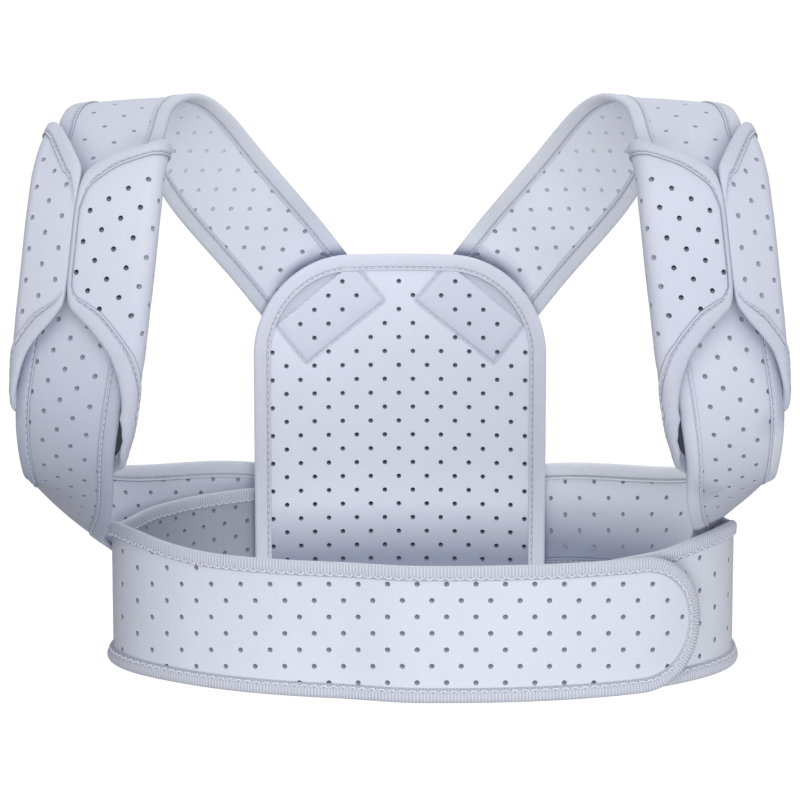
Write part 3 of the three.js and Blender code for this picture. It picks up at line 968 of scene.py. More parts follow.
def folded_tape(node, surface, path, finish, wide, step=2.0, closed=False, shows=None, sinks=0.0, ribs=None,
                swells=None, blur=2, slot="binding", dims=None):
    """A tape folded over the cloth's edge; ribs are a height and a pitch"""
    path = resample(path, step, closed)
    inward = inward_along(path, closed, blur)
    section = tape_section(wide, ribs is not None)
    share = (np.ones(len(path)) if shows is None else shows(path))[:, None]
    swell = (np.zeros(len(path)) if swells is None else swells(path))[:, None]
    at = np.arange(len(path)) * np.linalg.norm(path[1] - path[0])
    ripple = np.zeros((len(path), 1))
    if ribs is not None:
        ripple = ribs[0] / 2 * np.cos(at * TURN / ribs[1])[:, None]
    deep = section[:, 0] * np.where(section[:, 0] > 0, share, 1 - sinks * (1 - share))
    out = section[:, 1] * (1 - 0.5 * sinks * (1 - share))
    out = out + np.sign(section[:, 1]) * section[:, 2] * ripple + section[:, 3] * swell
    flat = path[:, None, :] + inward[:, None, :] * deep[:, :, None]
    points = surface.offset(flat.reshape(-1, 2), out.ravel())
    corners = len(section)
    rows = len(path)
    faces = ring_quads(rows, corners, closed).tolist()
    if not closed:
        faces += [list(range(corners))[::-1], list(range((rows - 1) * corners, rows * corners))]
    if surface.facing < 0:
        faces = [face[::-1] for face in faces]
    tape_flat = np.column_stack([np.repeat(at, corners), np.tile(section[:, 0], rows)])
    dim = dims(flat.reshape(-1, 2), points) if dims else None
    return new_piece(f"{node}_tape", points, faces, [finish], None, tape_flat, 60, (node,), None, dim)


def stitches(name, rows, radius, finish):
    """Short arched threads; each row is a surface, flat starts, flat ends and height out of the cloth"""
    shares = np.array([0, 0.2, 0.8, 1])
    swells = np.array([0.45, 1, 1, 0.45])
    lifts = np.array([-0.12, 0.1, 0.1, -0.12])
    sides = 5
    turn = np.arange(sides) * TURN / sides
    points = []
    faces = []
    base = 0
    for surface, starts, ends, height in rows:
        if len(starts) == 0:
            continue
        out = np.zeros(len(starts)) + height
        middles = (starts + ends) / 2
        up = surface.normal(middles[:, 0], middles[:, 1])
        a = surface.offset(starts, out)
        b = surface.offset(ends, out)
        along = unit(b - a)
        up = unit(up - along * np.sum(up * along, axis=1, keepdims=True)) * np.sign(out)[:, None]
        aside = np.cross(along, up)
        rings = []
        for share, swell, lift in zip(shares, swells, lifts):
            middle = a + (b - a) * share + up * lift
            for t in turn:
                rings.append(middle + radius * swell * (up * math.cos(t) + aside * math.sin(t)))
        block = np.stack(rings, 1)
        count, size = block.shape[:2]
        points.append(block.reshape(-1, 3))
        shapes = ring_quads(len(shares), sides).tolist()
        caps = [list(range(sides))[::-1], [size - sides + i for i in range(sides)]]
        for n in range(count):
            start = base + n * size
            faces += [[start + x for x in shape[::-1]] for shape in shapes + caps]
        base += count * size
    return new_piece(name, np.vstack(points), faces, [finish], None, None, 60)


def seam_stitches(surface, path, deep, out, closed=False, shows=None, both=True):
    """Straight stitches along a tape, a distance in from its edge, on one face or both"""
    pitch = bpy.context.scene.brace_tape.stitch_pitch / MM
    path = resample(path, pitch / 8, closed)
    inward = inward_along(path, closed, 4)
    share = np.ones(len(path)) if shows is None else shows(path)
    line = path + inward * (deep * share)[:, None]
    starts = line[1:-8:8]
    ends = line[7:-2:8]
    count = min(len(starts), len(ends))
    used = share[1:-8:8][:count] > 0.2
    starts, ends = starts[:count][used], ends[:count][used]
    sides = (1, -1) if both else (1,)
    return [(surface, starts, ends, sign * out) for sign in sides]


def sewn_tape(node, surface, path, look, closed=False, shows=None, **more):
    """A folded tape, and the rows of stitches along its inner border"""
    wide = bpy.context.scene.brace_tape.width / MM
    made = folded_tape(node, surface, path, look, wide, closed=closed, shows=shows, **more)
    return made, seam_stitches(surface, path, wide - SEAM_INSET, half_wall() + STITCH_LIFT, closed, shows)


def looped_stitches(surface, path, deep, out, pitch, swells):
    """Stitches along the tape's inner border, each with two short legs towards the fold, on both faces"""
    parts = 8
    path = resample(path, pitch / parts, False)
    inward = inward_along(path, False, 4)
    near = path + inward * (deep - 1.0)
    far = path + inward * deep
    count = (len(path) - 1) // parts
    at = np.arange(count) * parts
    pairs = [(far[at + 2], far[at + 6]), (near[at + 1], far[at + 2]), (far[at + 6], near[at + 7])]
    raised = out + 0.5 * swells(path[at])
    return [(surface, starts, ends, height) for height in (raised, -out) for starts, ends in pairs]


# Finishes

class Term:
    """A shader value; arithmetic on it adds Math nodes"""

    def __init__(self, finish, socket):
        self.finish = finish
        self.socket = socket

    def maths(self, operation, *terms):
        made = self.finish.node("ShaderNodeMath", {"operation": operation}, dict(enumerate(terms)))
        return Term(self.finish, made.outputs[0])

    def __add__(self, other):
        return self.maths("ADD", self, other)

    def __sub__(self, other):
        return self.maths("SUBTRACT", self, other)

    def __rsub__(self, other):
        return self.maths("SUBTRACT", other, self)

    def __mul__(self, other):
        return self.maths("MULTIPLY", self, other)

    __radd__ = __add__
    __rmul__ = __mul__

    def sine(self):
        return self.maths("SINE", self)

    def nearness(self, place, reach):
        """One at the place, falling to nothing at the reach on both sides"""
        off = self.maths("ABSOLUTE", self - place) * (1 / reach)
        return self.maths("MAXIMUM", 1 - off, 0.0)

    def beyond(self, place, reach):
        """Nothing up to the place, rising to one over the reach"""
        rise = self.maths("MAXIMUM", (self - place) * (1 / reach), 0.0)
        return self.maths("MINIMUM", rise, 1.0)


class Finish:
    """A node material in the making"""

    def __init__(self, name):
        self.material = bpy.data.materials.new(name)
        self.material.use_nodes = True
        self.tree = self.material.node_tree
        self.tree.nodes.clear()

    def node(self, kind, settings, sockets):
        made = self.tree.nodes.new(kind)
        for key, value in settings.items():
            setattr(made, key, value)
        for key, value in sockets.items():
            if isinstance(key, int):
                target = made.inputs[key]
            else:
                target = next(s for s in made.inputs if key in (s.identifier, s.name))
            source = value.socket if isinstance(value, Term) else value
            if isinstance(source, bpy.types.NodeSocket):
                self.tree.links.new(source, target)
            else:
                target.default_value = source
        return made

    def term(self, kind, settings, sockets, output=0):
        return Term(self, self.node(kind, settings, sockets).outputs[output])

    def flat(self):
        """The cloth's own two flat coordinates in millimetres, and the vector they come in"""
        vector = self.term("ShaderNodeAttribute", {"attribute_name": "flat"}, {}, "Vector")
        parts = self.node("ShaderNodeSeparateXYZ", {}, {0: vector})
        return Term(self, parts.outputs[0]), Term(self, parts.outputs[1]), vector

    def place(self):
        return self.term("ShaderNodeTexCoord", {}, {}, "Object")

    def dimmed(self, base, tint):
        """Darker where the piece lies in a soft shadow"""
        dim = self.term("ShaderNodeAttribute", {"attribute_name": "dim"}, {}, "Fac")
        return self.mixed(dim, base, tuple(np.multiply(tint, SHADE_LEFT)))

    def grain(self, vector, scale, detail=2.0):
        sockets = {"Vector": vector, "Scale": scale, "Detail": detail, "Roughness": 0.6}
        return self.term("ShaderNodeTexNoise", {}, sockets, "Fac")

    def mixed(self, share, first, second):
        pair = [x if isinstance(x, Term) else (*x, 1) for x in (first, second)]
        sockets = {"Factor_Float": share, "A_Color": pair[0], "B_Color": pair[1]}
        made = self.node("ShaderNodeMix", {"data_type": "RGBA"}, sockets)
        return Term(self, next(s for s in made.outputs if s.identifier == "Result_Color"))

    def close(self, base, roughness, height, depth, sheen):
        bump = self.term("ShaderNodeBump", {}, {"Strength": 0.6, "Distance": depth, "Height": height})
        sockets = {
            "Base Color": base,
            "Roughness": roughness,
            "Normal": bump,
            "Sheen Weight": sheen,
            "Sheen Roughness": 0.5,
            "Specular IOR Level": 0.08,
        }
        shader = self.node("ShaderNodeBsdfPrincipled", {}, sockets)
        self.node("ShaderNodeOutputMaterial", {}, {"Surface": shader.outputs[0]})
        return self.material


def shaded(tint, share):
    return tuple(min(x * share, 1) for x in tint)


def cloth_finish(name, tint):
    """Fine knitted face over foam"""
    finish = Finish(name)
    u, v, vector = finish.flat()
    knit = (u * (TURN / 0.9)).sine() * (v * (TURN / 0.7)).sine()
    fuzz = finish.grain(vector, 1.4, 3.0)
    cloud = finish.grain(finish.place(), 26.0)
    share = 0.55 * cloud + 0.35 * fuzz + 0.05 * knit
    base = finish.mixed(share, shaded(tint, 0.93), shaded(tint, 1.06))
    base = finish.dimmed(base, tint)
    roughness = 0.82 + 0.14 * fuzz
    return finish.close(base, roughness, 0.6 * fuzz + 0.2 * knit, 0.00014, 0.03)


def hole_finish(name, tint, axis=0, changes=()):
    """The inside of a punched hole; each change is a place on the flat cloth, a reach and a new colour"""
    finish = Finish(name)
    fuzz = finish.grain(finish.place(), 1800.0)
    base = finish.mixed(fuzz, shaded(tint, 0.7), shaded(tint, 1.35))
    for place, reach, later in changes:
        second = finish.mixed(fuzz, shaded(later, 0.7), shaded(later, 1.35))
        base = finish.mixed(finish.flat()[axis].beyond(place, reach), base, second)
    normal = finish.term("ShaderNodeNewGeometry", {}, {}, "Normal")
    up = Term(finish, finish.node("ShaderNodeSeparateXYZ", {}, {0: normal}).outputs[2])
    base = finish.mixed(up.beyond(HOLE_LIT_FROM, HOLE_LIT_OVER) * HOLE_LIT_SHARE, base, HOLE_LIT)
    return finish.close(base, 0.9 + 0.08 * fuzz, fuzz, 0.0001, 0.0)


def tape_finish(name, tint, wide, pitch):
    """A woven tape with fine cross ribs, with painted shade in the groove that holds the stitches and along
    its border
    """
    finish = Finish(name)
    along, across, vector = finish.flat()
    ribs = (along * (TURN / pitch)).sine() * (1 - across.beyond(wide - 2.4, 0.3))
    fuzz = finish.grain(vector, 2.2, 3.0)
    cloud = finish.grain(finish.place(), 40.0)
    share = 0.4 * cloud + 0.3 * fuzz + 0.2 * ribs + 0.15
    base = finish.mixed(share, shaded(tint, 0.9), shaded(tint, 1.09))
    # painted shade in the stitched groove and along the folded border
    groove = across.nearness(wide - SEAM_INSET, 0.75) * 0.6
    border = across.nearness(wide, 0.3) * 0.7
    base = finish.mixed(groove, base, shaded(tint, 0.38))
    base = finish.mixed(border, base, shaded(tint, 0.38))
    base = finish.dimmed(base, tint)
    return finish.close(base, 0.78 + 0.16 * fuzz, 0.35 * fuzz + 0.4 * ribs, 0.00016, 0.03)


def ribbed_finish(name, tint, wide, pitch):
    """An elastic tape, with painted shade between its ribs and along its sewn border"""
    finish = Finish(name)
    along, across, vector = finish.flat()
    valley = 0.5 - 0.5 * (along * (TURN / pitch) + TURN / 4).sine()
    ribbed = across.beyond(-0.9, 0.5)
    fuzz = finish.grain(vector, 2.4, 3.0)
    cloud = finish.grain(finish.place(), 40.0)
    base = finish.mixed(0.5 * cloud + 0.4 * fuzz, shaded(tint, 0.93), shaded(tint, 1.08))
    # painted shade between the ribs and along the sewn border
    base = finish.mixed(valley * ribbed * 0.7, base, shaded(tint, 0.6))
    border = across.beyond(wide - 2.3, 0.5) * 0.4
    base = finish.mixed(border, base, shaded(tint, 0.6))
    base = finish.dimmed(base, tint)
    return finish.close(base, 0.8 + 0.14 * fuzz, fuzz, 0.0001, 0.03)


def thread_finish(name, tint):
    """Twisted sewing thread"""
    finish = Finish(name)
    fuzz = finish.grain(finish.place(), 2600.0, 1.0)
    base = finish.mixed(fuzz, shaded(tint, 0.85), shaded(tint, 1.1))
    return finish.close(base, 0.6 + 0.2 * fuzz, fuzz, 0.00006, 0.03)


def floor_finish(name, tint):
    """A white floor that doesn't light the brace from below"""
    finish = Finish(name)
    cloud = finish.grain(finish.place(), 3.0)
    base = finish.mixed(cloud, shaded(tint, 0.25), shaded(tint, 0.3))
    diffuse = finish.node("ShaderNodeBsdfDiffuse", {}, {"Color": base})
    glow = finish.node("ShaderNodeEmission", {}, {"Color": (*tint, 1), "Strength": 1.05})
    direct = finish.term("ShaderNodeLightPath", {}, {}, "Is Camera Ray")
    both = finish.node("ShaderNodeMixShader", {}, {0: direct, 1: diffuse.outputs[0], 2: glow.outputs[0]})
    finish.node("ShaderNodeOutputMaterial", {}, {"Surface": both.outputs[0]})
    return finish.material


def kept(name, make, *values):
    """A finish that several pieces share"""
    return bpy.data.materials.get(name) or make(name, *values)


def tape_look(name, tint):
    tape = bpy.context.scene.brace_tape
    return kept(name, tape_finish, tuple(getattr(tape, tint)), tape.width / MM, WEAVE_PITCH)


def thread_look(name="thread"):
    return kept(f"sewing_{name}", thread_finish, tuple(getattr(bpy.context.scene.brace_tape, name)))


def cloth_look(name, tint):
    return kept(name, cloth_finish, tuple(getattr(bpy.context.scene.brace_cloth, tint)))


def hole_look(name, tint, axis=0, changes=()):
    """The holes' finish; its changes name their colours"""
    cloth = bpy.context.scene.brace_cloth
    changes = [(place, reach, tuple(getattr(cloth, key))) for place, reach, key in changes]
    return kept(name, hole_finish, tuple(getattr(cloth, tint)), axis, changes)


# Flat patterns

def strap_loop(length_along):
    half = STRAP_WIDTH / 2
    end = length_along - SEAM_GAP / 2
    corners = np.array([[0, -half], [end, -half], [end, half], [0, half]])
    return resample(corners, 4.0, True)


def pad_edges():
    """The two flaps' free edges from head to foot"""
    edges = []
    for column, least in zip((0, 2), PAD_SEAM_EDGES):
        along = PAD_ROWS[:, column]
        beside = PAD_ROWS[:, column + 1] == PAD_ROWS[:, 1].min()
        open_by = np.where(beside, least, PAD_ROWS[:, column + 1])
        around = open_by if column == 0 else pad_round(along) - open_by
        edges.append(rounded(np.stack([along, around], 1)))
    return edges


def panel_loop():
    def corner_drop(u, radius):
        past = np.maximum(np.abs(u) - (PANEL_HALF_WIDTH - radius), 0)
        return radius - np.sqrt(np.maximum(radius ** 2 - past ** 2, 0))
    t = np.linspace(-1, 1, 121)
    u = PANEL_HALF_WIDTH * np.sin(t * math.pi / 2)
    low = PANEL_BOTTOM + corner_drop(u, PANEL_BOTTOM_RADIUS)
    crown = PANEL_TOP_CROWN * (u / PANEL_HALF_WIDTH) ** 2
    high = PANEL_TOP - crown - corner_drop(u, PANEL_TOP_RADIUS)
    bottom = np.stack([u, low], 1)
    top = np.stack([u, high], 1)[::-1]
    return np.vstack([bottom, top])


def belt_edge_left():
    """From the seam along the bottom, round the tab and back along the top"""
    half = BELT_HEIGHT / 2
    middle = BELT_TOP - half
    start = LEFT_BELT_LENGTH - half
    turn = np.linspace(-math.pi / 2, math.pi / 2, 60)
    tab = np.stack([start + half * np.cos(turn), middle + half * np.sin(turn)], 1)
    first = np.array([[SEAM_GAP / 2, middle - half]])
    last = np.array([[SEAM_GAP / 2, middle + half]])
    return np.vstack([first, tab, last])


def sewn_boxes():
    """The two boxes sewn through the panel, as flat loops"""
    return [SEWN_BOX * (side, 1) for side in (1, -1)]


def panel_relief(flat):
    """The panel stands up over the strap ends sewn behind it and dips at and beyond their stitching"""
    height = np.zeros(len(flat))
    for loop in sewn_boxes():
        first, second = loop[0], loop[1]
        way = unit(second - first)
        aside = np.array([-way[1], way[0]])
        aside = aside * np.sign((first - loop[3]) @ aside)
        run = (flat - first) @ way
        past = (flat - first) @ aside
        end = np.linalg.norm(second - first) + PANEL_DIP_PAST_END
        beyond = (run > -PANEL_DIP_PAST_END) & (run < end)
        height -= np.where(beyond, PANEL_DIP * np.clip(past / PANEL_DIP_OVER, 0, 1), 0)
        within = inside(flat, loop)
        sewn = np.full(len(flat), np.inf)
        for a, b in ((1, 2), (2, 3), (3, 0)):
            sewn = np.minimum(sewn, side_distance(flat, loop[a], loop[b]))
        height += np.where(within, PANEL_RISE * np.clip(sewn / PANEL_RISE_OVER, 0, 1), 0)
        height -= SEWN_DIP * np.exp(-(sewn / SEWN_DIP_REACH) ** 2)
    return height


def seen(points):
    """Where points fall in the photograph, in pixels"""
    x, y, z = (points - np.array(CAMERA_AIM) / MM).T
    away = CAMERA_DISTANCE / MM + y * math.cos(CAMERA_LIFT) - z * math.sin(CAMERA_LIFT)
    up = y * math.sin(CAMERA_LIFT) + z * math.cos(CAMERA_LIFT)
    return PHOTO_SIZE / 2 + PHOTO_FOCUS * np.stack([x, -up], 1) / away[:, None]


def level_holes(surface, front, middle, first, steps):
    """Flat places of holes in rows that run level across the photograph, along a span of the cloth"""
    first, steps = np.array(first), np.array(steps)
    across = seen(surface.point(front, np.full(len(front), middle)))[:, 0]
    order = np.argsort(across)
    low = np.ceil((across.min() - first[0]) / steps[0])
    high = np.floor((across.max() - first[0]) / steps[0])
    wanted = staggered(np.arange(low, high + 1), range(-9, 10)) * steps + first
    flat = np.stack([np.interp(wanted[:, 0], across[order], front[order]), np.full(len(wanted), middle)], 1)
    for _ in range(8):
        here = seen(surface.point(*flat.T))
        by_u = seen(surface.point(*(flat + (1, 0)).T)) - here
        by_v = seen(surface.point(*(flat + (0, 1)).T)) - here
        slopes = np.stack([by_u, by_v], 2)
        flat = flat + np.clip(np.linalg.solve(slopes, (wanted - here)[:, :, None])[:, :, 0], -15, 15)
    return flat


def belt_holes(surface, outline, first, steps, clear):
    """Level holes over the belt's front, and a plain lattice where the belt turns away"""
    along = np.arange(1.0, outline[:, 0].max(), 1.0)
    middle = BELT_TOP - BELT_HEIGHT / 2
    front = along[surface.normal(along, np.full(len(along), middle))[:, 1] < BELT_FRONT_FACING]
    flat = clear_inside(level_holes(surface, front, middle, first, steps), outline, clear)
    start = (front.min() - BELT_HOLE_STEPS[0][0], BELT_HOLE_ROW)
    behind = hole_lattice(outline, start, BELT_HOLE_STEPS, clear)
    low = flat[:, 0].min() - BELT_TURN_GAP
    high = max(flat[:, 0].max(), front.max()) + BELT_TURN_GAP
    return np.vstack([flat, behind[(behind[:, 0] < low) | (behind[:, 0] > high)]])


# Soft shade

def panel_shade(flat, points):
    """Darker in the dips of the panel and towards its foot"""
    dips = np.clip(-panel_relief(flat) / PANEL_DIP, 0, 1)
    foot = np.clip((PANEL_BOTTOM + PANEL_FOOT_HEIGHT - flat[:, 1]) / PANEL_FOOT_FALL, 0, 1)
    boxed = np.zeros(len(flat))
    for loop in sewn_boxes():
        boxed = np.maximum(boxed, inside(flat, loop))
    return PANEL_SHADE["dips"] * dips + PANEL_SHADE["foot"] * foot + PANEL_SHADE["boxed"] * boxed


def panel_shadow(points):
    """Soft shadow round the back panel's edge, on what lies just behind it"""
    loop = resample(panel_loop(), 3.0, True)
    near = edge_distance(points[:, [0, 2]] * (-1, 1), loop)
    behind = (points[:, 1] > PANEL_BACK - PANEL_SHADOW_DEPTH) & (points[:, 2] > PANEL_BOTTOM / 2)
    weight = np.clip((points[:, 2] - PANEL_SHADOW_FROM) / PANEL_SHADOW_RISE, PANEL_SHADOW_LEAST, 1)
    return np.where(behind, weight * np.exp(-(near / PANEL_SHADOW_REACH) ** 2), 0)


def strap_shadow(side):
    """The shade on one strap: by the panel, under the pad's flaps and where it turns under the arm"""
    frame_at, _ = strap_frame(-side)
    strap = strap_surface(side, frame_at)
    edges = np.vstack([resample(edge, 3.0) for edge in pad_edges()])
    edges = pad_surface(side, frame_at).offset(edges, np.zeros(len(edges)))

    def dims(flat, points):
        lower = looked_up(STRAP_SHADE, flat[:, 0], SHADE_COLUMN[side])
        near = np.full(len(points), np.inf)
        for edge in edges:
            near = np.minimum(near, np.linalg.norm(points - edge, axis=1))
        under = FLAP_SHADE * np.exp(-np.maximum(near - FLAP_SHADE_REACH, 0) / FLAP_SHADE_FADE)
        deep = WING_SHADE[side] * np.clip((WING_SHADE_FROM - points[:, 2]) / WING_SHADE_FALL, 0, 1)
        lower = lower + np.where(flat[:, 0] > WING_FROM, deep, 0)
        height = np.sum((points - strap.point(*flat.T)) * strap.normal(*flat.T), axis=1)
        behind = np.where(height < 0, panel_shadow(points), 0)
        return np.maximum(np.maximum(lower, under), behind)

    return dims


def belt_shade(flat, points):
    """The belt's left end turns into shade"""
    return BELT_SHADE * np.clip((BELT_SHADE_FROM - points[:, 0]) / BELT_SHADE_FALL, 0, 1)


def belt_swell(path):
    """The tape along the belt's bottom is rolled thicker than the one along its top"""
    half = BELT_HEIGHT / 2
    least, more = BELT_TAPE_SWELL
    return least + more * np.clip((BELT_TOP - half - path[:, 1]) / half, 0, 1)


# Operators

class BRACE_OT_straps(bpy.types.Operator):
    """Make the two long straps with their tapes and stitches"""
    bl_idname = "brace.make_straps"
    bl_label = "Straps"

    def execute(self, context):
        clear = context.scene.brace_tape.width / MM - HOLE_UNDER_TAPE
        holed = hole_look("strap_hole", "strap_hole", 0, STRAP_HOLE_CHANGES)
        # the straps' body side takes the lightened lining colour, painted light
        lining = cloth_look("strap_lining", "lining")
        finishes = [cloth_look("strap_and_pad_cloth", "tint"), holed, lining]
        look = tape_look("strap_tape", "strap_tint")
        for side_name, side, layer in SIDES:
            frame_at, reach = strap_frame(layer)
            surface = strap_surface(side, frame_at)
            name = f"{side_name}_strap"
            loop = strap_loop(reach)
            wing = np.arange(WING_FROM, reach - 2, 1.0)
            level = level_holes(surface, wing, 0.0, *WING_HOLES_SEEN[side_name])
            level = clear_inside(level[level[:, 0] > WING_FROM], loop, clear)
            holes = patterned_holes(loop, STRAP_HOLES, 0, clear)
            holes = np.vstack([holes[holes[:, 0] < level[:, 0].min() - 5], level])
            dims = strap_shadow(side)

            def tape_dims(flat, points):
                # painted shade on the strap's tapes, and the strap's own painted shade over it
                tape_shade = looked_up(STRAP_TAPE_SHADE, flat[:, 0], SHADE_COLUMN[side])
                return tape_shade + dims(flat, points) * (1 - 0.7 * tape_shade)

            piece = perforated_cloth(f"{name}_cloth", surface, loop, holes, finishes, name, 4.0, dims)
            half = STRAP_WIDTH / 2
            end = reach - SEAM_GAP / 2
            outer = np.array([[end, half], [0, half]])
            inner = np.array([[0, -half], [end, -half]])
            rows = []
            for edge_name, edge in (("outer", outer), ("inner", inner)):
                node = f"{name}_{edge_name}_binding"
                made, seam = sewn_tape(node, surface, edge, look, dims=tape_dims)
                rows += seam
            stitches(f"{name}_stitches", rows, STITCH_RADIUS, thread_look())
            reach * MM
        return {"FINISHED"}


class BRACE_OT_shoulder_pads(bpy.types.Operator):
    """Make the two padded sleeves round the straps with their tapes and stitches"""
    bl_idname = "brace.make_shoulder_pads"
    bl_label = "Shoulder pads"

    def execute(self, context):
        deep = context.scene.brace_tape.width / MM
        holed = hole_look("pad_hole", "pale_hole", 1, PAD_HOLE_CHANGES)
        # the pads' inside is near black, painted shade
        lining = cloth_look("pad_lining", "pad_lining")
        finishes = [cloth_look("strap_and_pad_cloth", "tint"), holed, lining]
        look = tape_look("smooth_tape", "tint")
        outer, inner = pad_edges()
        loop = resample(np.vstack([outer, inner[::-1]]), 2.5, True)

        def shows_outer(path):
            return looked_up(PAD_TAPES, path[:, 0], 1)

        def shows_inner(path):
            return looked_up(PAD_TAPES, path[:, 0], 2)

        def margin(centres):
            head = (centres[:, 1] > PAD_FRONT) * looked_up(PAD_HEAD_MARGIN, centres[:, 0])
            return PAD_MARGIN + head + (deep - PAD_HOLE_UNDER_TAPE) * shows_inner(centres)

        for side_name, side, layer in SIDES:
            frame_at, _ = strap_frame(layer)
            surface = pad_surface(side, frame_at)
            name = f"{side_name}_shoulder_pad"
            holes = patterned_holes(loop, PAD_HOLES, 1, margin)

            def dims(flat, points):
                return looked_up(PAD_SHADE, flat[:, 0], SHADE_COLUMN[side])

            piece = perforated_cloth(f"{name}_cloth", surface, loop, holes, finishes, name, 2.6, dims)
            rows = []
            edges = (("outer", outer, shows_outer, 1.0), ("inner", inner[::-1], shows_inner, -0.6))
            for edge_name, edge, shows, sinks in edges:
                node = f"{name}_{edge_name}_binding"
                more = {"step": 1.0, "sinks": sinks, "blur": 8, "dims": dims}
                _, seam = sewn_tape(node, surface, edge, look, False, shows, **more)
                rows += seam
            stitches(f"{name}_stitches", rows, STITCH_RADIUS, thread_look())
        return {"FINISHED"}


class BRACE_OT_back_panel(bpy.types.Operator):
    """Make the back panel with its tape and the two boxes sewn through it"""
    bl_idname = "brace.make_back_panel"
    bl_label = "Back panel"

    def execute(self, context):
        clear = context.scene.brace_tape.width / MM - HOLE_UNDER_TAPE
        holed = hole_look("panel_hole", "dark_hole", 1, PANEL_HOLE_CHANGES)
        face = cloth_look("panel_cloth", "panel_tint_painted_light")
        finishes = [face, holed, face]
        surface = panel_surface()
        loop = panel_loop()
        outline = resample(loop, 3.0, True)
        holes = hole_lattice(outline, PANEL_HOLE_START, PANEL_HOLE_STEPS, clear)
        holes = holes[panel_relief(holes) > SEWN_DEEPEST_HOLE]
        extra = []
        for box in sewn_boxes():
            holes = holes[edge_distance(holes, box) > SEWN_CLEAR]
            line = resample(box, 1.6, True)
            aside = inward_along(line, True, 1)
            extra += [line + aside * shift for shift in SEWN_LINES]
        piece = perforated_cloth(
            "back_panel_cloth", surface, outline, holes, finishes, "back_panel", 4.0, panel_shade,
            relief=panel_relief, extra=np.vstack(extra))
        look = tape_look("panel_tape", "panel_tint_painted_light")
        band, rows = sewn_tape("back_panel_binding", surface, loop, look, True)
        for box in sewn_boxes():
            rows += seam_stitches(surface, box, 0.0, half_wall() + BOX_STITCH_LIFT, True, both=False)
        sewing = stitches("back_panel_stitches", rows, PANEL_STITCH_RADIUS, thread_look("panel_thread"))
        return {"FINISHED"}


class BRACE_OT_belt(bpy.types.Operator):
    """Make the two belt halves with their ribbed tapes and looped stitches"""
    bl_idname = "brace.make_belt"
    bl_label = "Belt"

    def execute(self, context):
        tape = context.scene.brace_tape
        deep = BELT_TAPE_WIDTH
        out = half_wall() + BELT_STITCH_LIFT
        holed = hole_look("belt_hole", "belt_hole")
        # the belt's body side takes the darkened lining colour, painted shade
        lining = cloth_look("belt_lining", "belt_lining")
        finishes = [cloth_look("belt_face", "belt_tint"), holed, lining]
        rib_pitch = tape.rib_pitch / MM
        look = kept("ribbed_tape", ribbed_finish, tuple(tape.belt_tint), deep, rib_pitch)
        ribs = (tape.rib_height / MM, rib_pitch)
        low = BELT_TOP - BELT_HEIGHT
        start, end = SEAM_GAP / 2, RIGHT_BELT_LENGTH
        left_loop = belt_edge_left()
        right_loop = np.array([[start, low], [end, low], [end, BELT_TOP], [start, BELT_TOP]])
        left_edges = (("left_belt_binding", left_loop),)
        right_edges = (
            ("right_belt_bottom_binding", right_loop[:2]),
            ("right_belt_top_binding", right_loop[2:]),
        )
        halves = (
            # name, which way round, outline, taped edges, length
            ("left_belt", 1, left_loop, left_edges, LEFT_BELT_LENGTH),
            ("right_belt", -1, right_loop, right_edges, RIGHT_BELT_LENGTH),
        )
        for name, way, loop, edges, reach in halves:
            surface = belt_surface(way)
            outline = resample(loop, 3.5, True)
            first, steps = BELT_HOLES_SEEN[name]
            holes = belt_holes(surface, outline, first, steps, deep - BELT_HOLE_UNDER_TAPE)
            piece = perforated_cloth(
                f"{name}_cloth", surface, outline, holes, finishes, name, 4.5, belt_shade)
            rows = []
            for node, edge in edges:
                folded_tape(
                    node, surface, edge, look, deep, rib_pitch / 4, ribs=ribs, swells=belt_swell, blur=6,
                    slot="belt_tape", dims=belt_shade)
                inset = deep - BELT_STITCH_INSET
                rows += looped_stitches(surface, edge, inset, out, 3 * rib_pitch, belt_swell)
            thread = thread_look("belt_thread")
            stitches(f"{name}_stitches", rows, BELT_STITCH_RADIUS, thread)
        return {"FINISHED"}


class BRACE_OT_hook_fastener(bpy.types.Operator):
    """Make the hook patch between the tab and the belt under it"""
    bl_idname = "brace.make_hook_fastener"
    bl_label = "Hook fastener"

    def execute(self, context):
        tape = context.scene.brace_tape
        middle = (LEFT_BELT_LENGTH - HOOK_FROM_TIP - HOOK_LENGTH / 2, BELT_TOP - BELT_HEIGHT / 2)
        corners = middle + SQUARE * (HOOK_LENGTH / 2, HOOK_HEIGHT / 2)
        ring = rounded(np.vstack([resample(corners, 6.0, True), corners[:1]]), 2)[:-1]

        def point(u, z):
            return torso_point(u, LAYER_STEP / 2 + 0 * u, z)

        surface = Surface(point, 1)
        loose = clear_inside(grid_points(ring, 4.0), ring, 1.5)
        flat, triangles, where = cut_cloth(ring, np.zeros((0, 3, 2)), loose)
        count = len(flat)
        thick = HOOK_THICKNESS / 2
        points = [surface.offset(flat, np.full(count, out)) for out in (thick, 0.1 - thick)]
        outer, inner, edge = slab_faces(triangles, where[:len(ring)], count)
        faces = outer + inner + edge
        flats = [flat, flat]
        pegs = clear_inside(grid_points(ring, HOOK_PITCH), ring, 1.0)
        sides = 5
        circle = ring_of(sides)
        base = 2 * count
        for peg in pegs:
            for wide, height in HOOK_PEG:
                flats.append(peg + circle * wide)
                points.append(surface.offset(flats[-1], np.full(sides, -height - thick)))
            faces += (ring_quads(len(HOOK_PEG), sides)[:, ::-1] + base).tolist()
            faces.append([base + i for i in range(sides)])
            faces.append([base + 2 * sides + i for i in range(sides)][::-1])
            base += 3 * sides
        look = kept("hook_tape", tape_finish, tuple(tape.hook), 1000.0, 1.0)
        flats = np.vstack(flats)
        points = np.vstack(points)
        new_piece("hook_patch", points, faces, [look], None, flats, 50, ("hook_fastener",))
        return {"FINISHED"}


